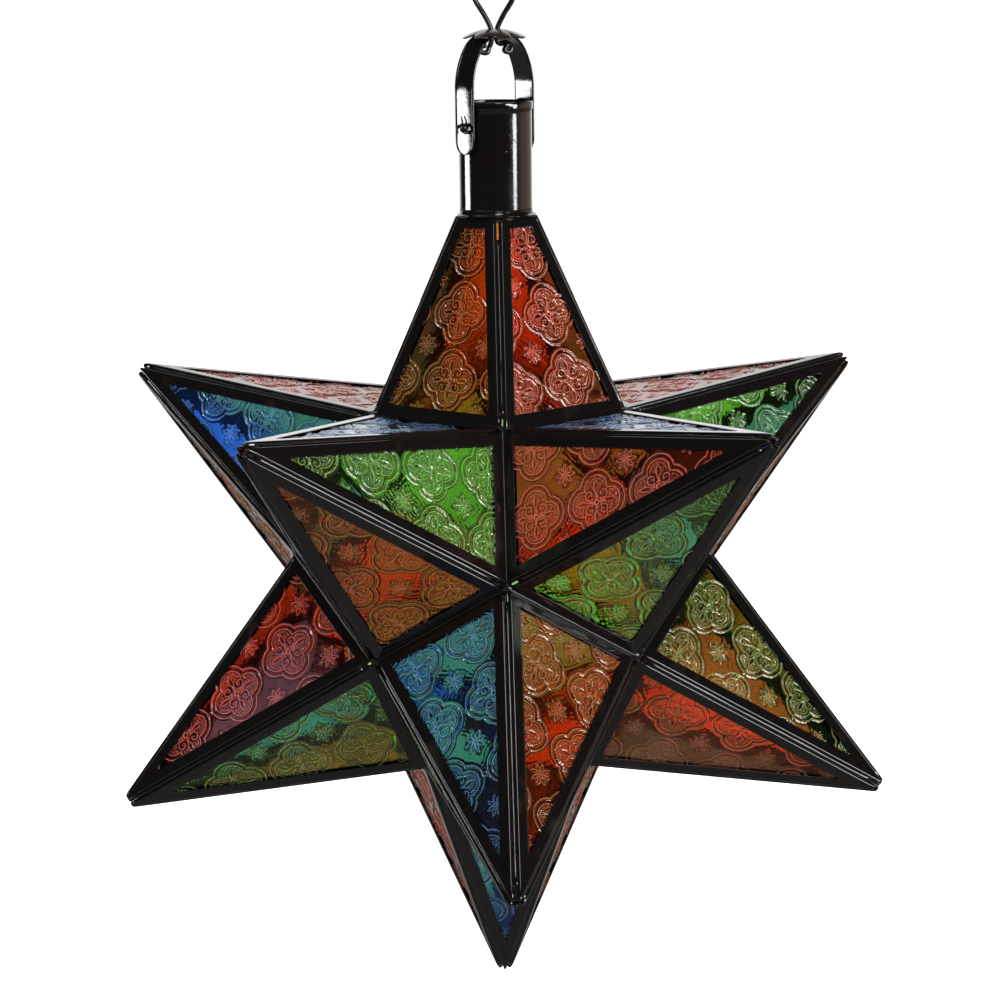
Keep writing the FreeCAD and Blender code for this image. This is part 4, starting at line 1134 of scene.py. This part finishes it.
# --------------------------------------------------------------- the stage
FLOOR_Z = -0.560
b = Build()
n = 41
gx, gy = np.meshgrid(np.linspace(-3000, 3000, n), np.linspace(-3000, 3000, n), indexing="ij")
b.add(np.column_stack([gx.ravel(), gy.ravel(), np.full(n * n, FLOOR_Z * 1000 - LIFT)]), grid_faces(n, n))
floor = b.make("floor")
fm, nt, bs = new_mat("pale_floor")
f1 = noise(nt, 1.6, 3.0, 0.5)
nt.links.new(mix_col(nt, f1, (0.90, 0.90, 0.90), (0.94, 0.94, 0.935)), bs.inputs["Base Color"])
bs.inputs["Roughness"].default_value = 0.7
lp = nt.nodes.new("ShaderNodeLightPath")
# seen through the glass or in the paint the floor is bright only well behind the lantern
tcf = nt.nodes.new("ShaderNodeTexCoord")
rel = nt.nodes.new("ShaderNodeVectorMath")
rel.operation = "SUBTRACT"
nt.links.new(tcf.outputs["Object"], rel.inputs[0])
rel.inputs[1].default_value = (0, 0, LIFT / 1000)
nrm = nt.nodes.new("ShaderNodeVectorMath")
nrm.operation = "NORMALIZE"
nt.links.new(rel.outputs[0], nrm.inputs[0])
dt = nt.nodes.new("ShaderNodeVectorMath")
dt.operation = "DOT_PRODUCT"
nt.links.new(nrm.outputs[0], dt.inputs[0])
dt.inputs[1].default_value = (0.026, 0.974, -0.225)
win = nt.nodes.new("ShaderNodeMapRange")
win.interpolation_type = "SMOOTHSTEP"
nt.links.new(dt.outputs["Value"], win.inputs["Value"])
win.inputs["From Min"].default_value = math.cos(math.radians(46))
win.inputs["From Max"].default_value = math.cos(math.radians(21))
win.inputs["To Min"].default_value = 0.35
win.inputs["To Max"].default_value = 1.10
glow = math_node(nt, "MULTIPLY", win.outputs["Result"], math_node(
    nt, "ADD", lp.outputs["Is Transmission Ray"], math_node(nt, "MULTIPLY", lp.outputs["Is Glossy Ray"], 0.35)))
glow = math_node(nt, "ADD", math_node(nt, "MULTIPLY", lp.outputs["Is Camera Ray"], 0.96), glow)
em = nt.nodes.new("ShaderNodeEmission")
em.inputs["Color"].default_value = (1, 1, 1, 1)
nt.links.new(glow, em.inputs["Strength"])
near_w = nt.nodes.new("ShaderNodeMixShader")
nt.links.new(lp.outputs["Is Camera Ray"], near_w.inputs[0])
hush = nt.nodes.new("ShaderNodeBsdfDiffuse")
hush.inputs["Color"].default_value = (0.05, 0.045, 0.04, 1)
nt.links.new(hush.outputs[0], near_w.inputs[1])
nt.links.new(bs.outputs[0], near_w.inputs[2])
add = nt.nodes.new("ShaderNodeAddShader")
nt.links.new(near_w.outputs[0], add.inputs[0])
nt.links.new(em.outputs[0], add.inputs[1])
outn = next(x for x in nt.nodes if x.type == "OUTPUT_MATERIAL")
nt.links.new(add.outputs[0], outn.inputs["Surface"])
floor.data.materials.append(fm)

# world: white surround seen directly and through the glass, a dim studio in reflections
world = bpy.data.worlds.new("studio")
scene.world = world
world.use_nodes = True
nt = world.node_tree
for x in list(nt.nodes):
    nt.nodes.remove(x)
tc = nt.nodes.new("ShaderNodeTexCoord")
sep = nt.nodes.new("ShaderNodeSeparateXYZ")
nt.links.new(tc.outputs["Generated"], sep.inputs[0])
lp = nt.nodes.new("ShaderNodeLightPath")


def spot(direction, inner, outer, strength):
    """Soft round patch of light about a direction; inner and outer are angles in degrees."""
    d = unit(direction)
    dot = nt.nodes.new("ShaderNodeVectorMath")
    dot.operation = "DOT_PRODUCT"
    nt.links.new(tc.outputs["Generated"], dot.inputs[0])
    dot.inputs[1].default_value = tuple(d)
    mr = nt.nodes.new("ShaderNodeMapRange")
    mr.interpolation_type = "SMOOTHSTEP"
    nt.links.new(dot.outputs["Value"], mr.inputs["Value"])
    mr.inputs["From Min"].default_value = math.cos(math.radians(outer))
    mr.inputs["From Max"].default_value = math.cos(math.radians(inner))
    mr.inputs["To Min"].default_value = 0.0
    mr.inputs["To Max"].default_value = strength
    return mr.outputs["Result"]


def tinted(value, colour):
    n = nt.nodes.new("ShaderNodeVectorMath")
    n.operation = "SCALE"
    n.inputs[0].default_value = colour
    nt.links.new(value, n.inputs["Scale"])
    return n.outputs[0]


def plus(a, c):
    n = nt.nodes.new("ShaderNodeVectorMath")
    n.operation = "ADD"
    nt.links.new(a, n.inputs[0])
    if isinstance(c, tuple):
        n.inputs[1].default_value = c
    else:
        nt.links.new(c, n.inputs[1])
    return n.outputs[0]


# seen through the glass: white behind the lantern, dim to the sides
through = math_node(nt, "ADD", spot((0.026, 0.974, -0.225), 21, 46, 0.75), 0.35)
# in reflections: a pale wall behind, a strip at the left, a soft box above the viewer
WHITE, WARM = (1.0, 1.0, 1.0), (1.0, 0.74, 0.56)
refl = plus(tinted(spot((0, 1, 0.10), 20, 46, 1.3), WHITE), (0.022, 0.019, 0.018))
refl = plus(refl, tinted(spot((-0.972, 0.21, -0.235), 11, 15, 19.0), WHITE))
refl = plus(refl, tinted(spot((-0.90, -0.38, -0.36), 5, 9, 7.0), WHITE))
refl = plus(refl, tinted(spot((0.12, -0.48, 0.86), 6, 10, 7.0), WHITE))
for _d in ((0.88, -0.48, 0.0), (0.74, -0.66, 0.10), (0.61, -0.77, 0.20)):
    refl = plus(refl, tinted(spot(_d, 5, 9, 18.0), WHITE))
refl = plus(refl, tinted(spot((0.90, 0.34, -0.20), 20, 44, 0.62), WARM))
refl = plus(refl, tinted(spot((-0.25, 0.2, 1), 8, 20, 0.8), WHITE))
refl = plus(refl, tinted(spot((-0.30, -0.55, -0.78), 5, 9, 3.0), (0.75, 0.85, 1.0)))
# matt surfaces are lit evenly from the viewer's side
even = nt.nodes.new("ShaderNodeMapRange")
nt.links.new(sep.outputs["Y"], even.inputs["Value"])
even.inputs["From Min"].default_value = -0.6
even.inputs["From Max"].default_value = 0.6
even.inputs["To Min"].default_value = 1.65
even.inputs["To Max"].default_value = 0.7
lit = tinted(math_node(nt, "MULTIPLY", lp.outputs["Is Diffuse Ray"], even.outputs["Result"]), WHITE)
keep = nt.nodes.new("ShaderNodeVectorMath")
keep.operation = "SCALE"
nt.links.new(refl, keep.inputs[0])
nt.links.new(math_node(nt, "SUBTRACT", 1.0, lp.outputs["Is Diffuse Ray"]), keep.inputs["Scale"])
refl = plus(keep.outputs[0], lit)
cam_ray = lp.outputs["Is Camera Ray"]
trans = lp.outputs["Is Transmission Ray"]
val = plus(tinted(math_node(nt, "MULTIPLY", cam_ray, 1.02), WHITE),
           tinted(math_node(nt, "MULTIPLY", math_node(nt, "SUBTRACT", 1.0, cam_ray),
                            math_node(nt, "MULTIPLY", trans, through)), WHITE))
other = math_node(nt, "MULTIPLY", math_node(nt, "SUBTRACT", 1.0, cam_ray), math_node(nt, "SUBTRACT", 1.0, trans))
sc = nt.nodes.new("ShaderNodeVectorMath")
sc.operation = "SCALE"
nt.links.new(refl, sc.inputs[0])
nt.links.new(other, sc.inputs["Scale"])
val = plus(val, sc.outputs[0])
bg = nt.nodes.new("ShaderNodeBackground")
nt.links.new(val, bg.inputs["Color"])
bg.inputs["Strength"].default_value = 1.0
wo = nt.nodes.new("ShaderNodeOutputWorld")
nt.links.new(bg.outputs[0], wo.inputs["Surface"])


def area(name, loc, target, size, power, color=(1, 1, 1), size_y=None):
    L = bpy.data.lights.new(name, "AREA")
    L.energy = power
    L.color = color
    L.shape = "RECTANGLE"
    L.size = size
    L.size_y = size_y or size
    o = bpy.data.objects.new(name, L)
    scene.collection.objects.link(o)
    o.location = loc
    d = Vector(target) - Vector(loc)
    o.rotation_euler = d.to_track_quat("-Z", "Y").to_euler()
    return o


area("soft_top", (0.25, -1.2, 1.1), (0, 0, -0.27), 0.5, 3)

# ------------------------------------------------------------------ camera
cam = bpy.data.cameras.new("camera")
cam.sensor_width = 36
cam.sensor_fit = "HORIZONTAL"
cam.lens = 78.52
cam_ob = bpy.data.objects.new("camera", cam)
scene.collection.objects.link(cam_ob)
Rv, Uv, Dv = Vector((0.9995, -0.0295, -0.0112)), Vector((0.0176, 0.2250, 0.9742)), Vector((0.0262, 0.9739, -0.2254))
Dv.normalize()
Rv = (Rv - Dv * Rv.dot(Dv)).normalized()
Uv = Rv.cross(Dv).normalized()
cam_ob.matrix_world = Matrix(((Rv.x, Uv.x, -Dv.x, -0.02572), (Rv.y, Uv.y, -Dv.y, -0.96488),
                              (Rv.z, Uv.z, -Dv.z, -0.01998), (0, 0, 0, 1)))
scene.camera = cam_ob
scene.view_settings.view_transform = "Standard"
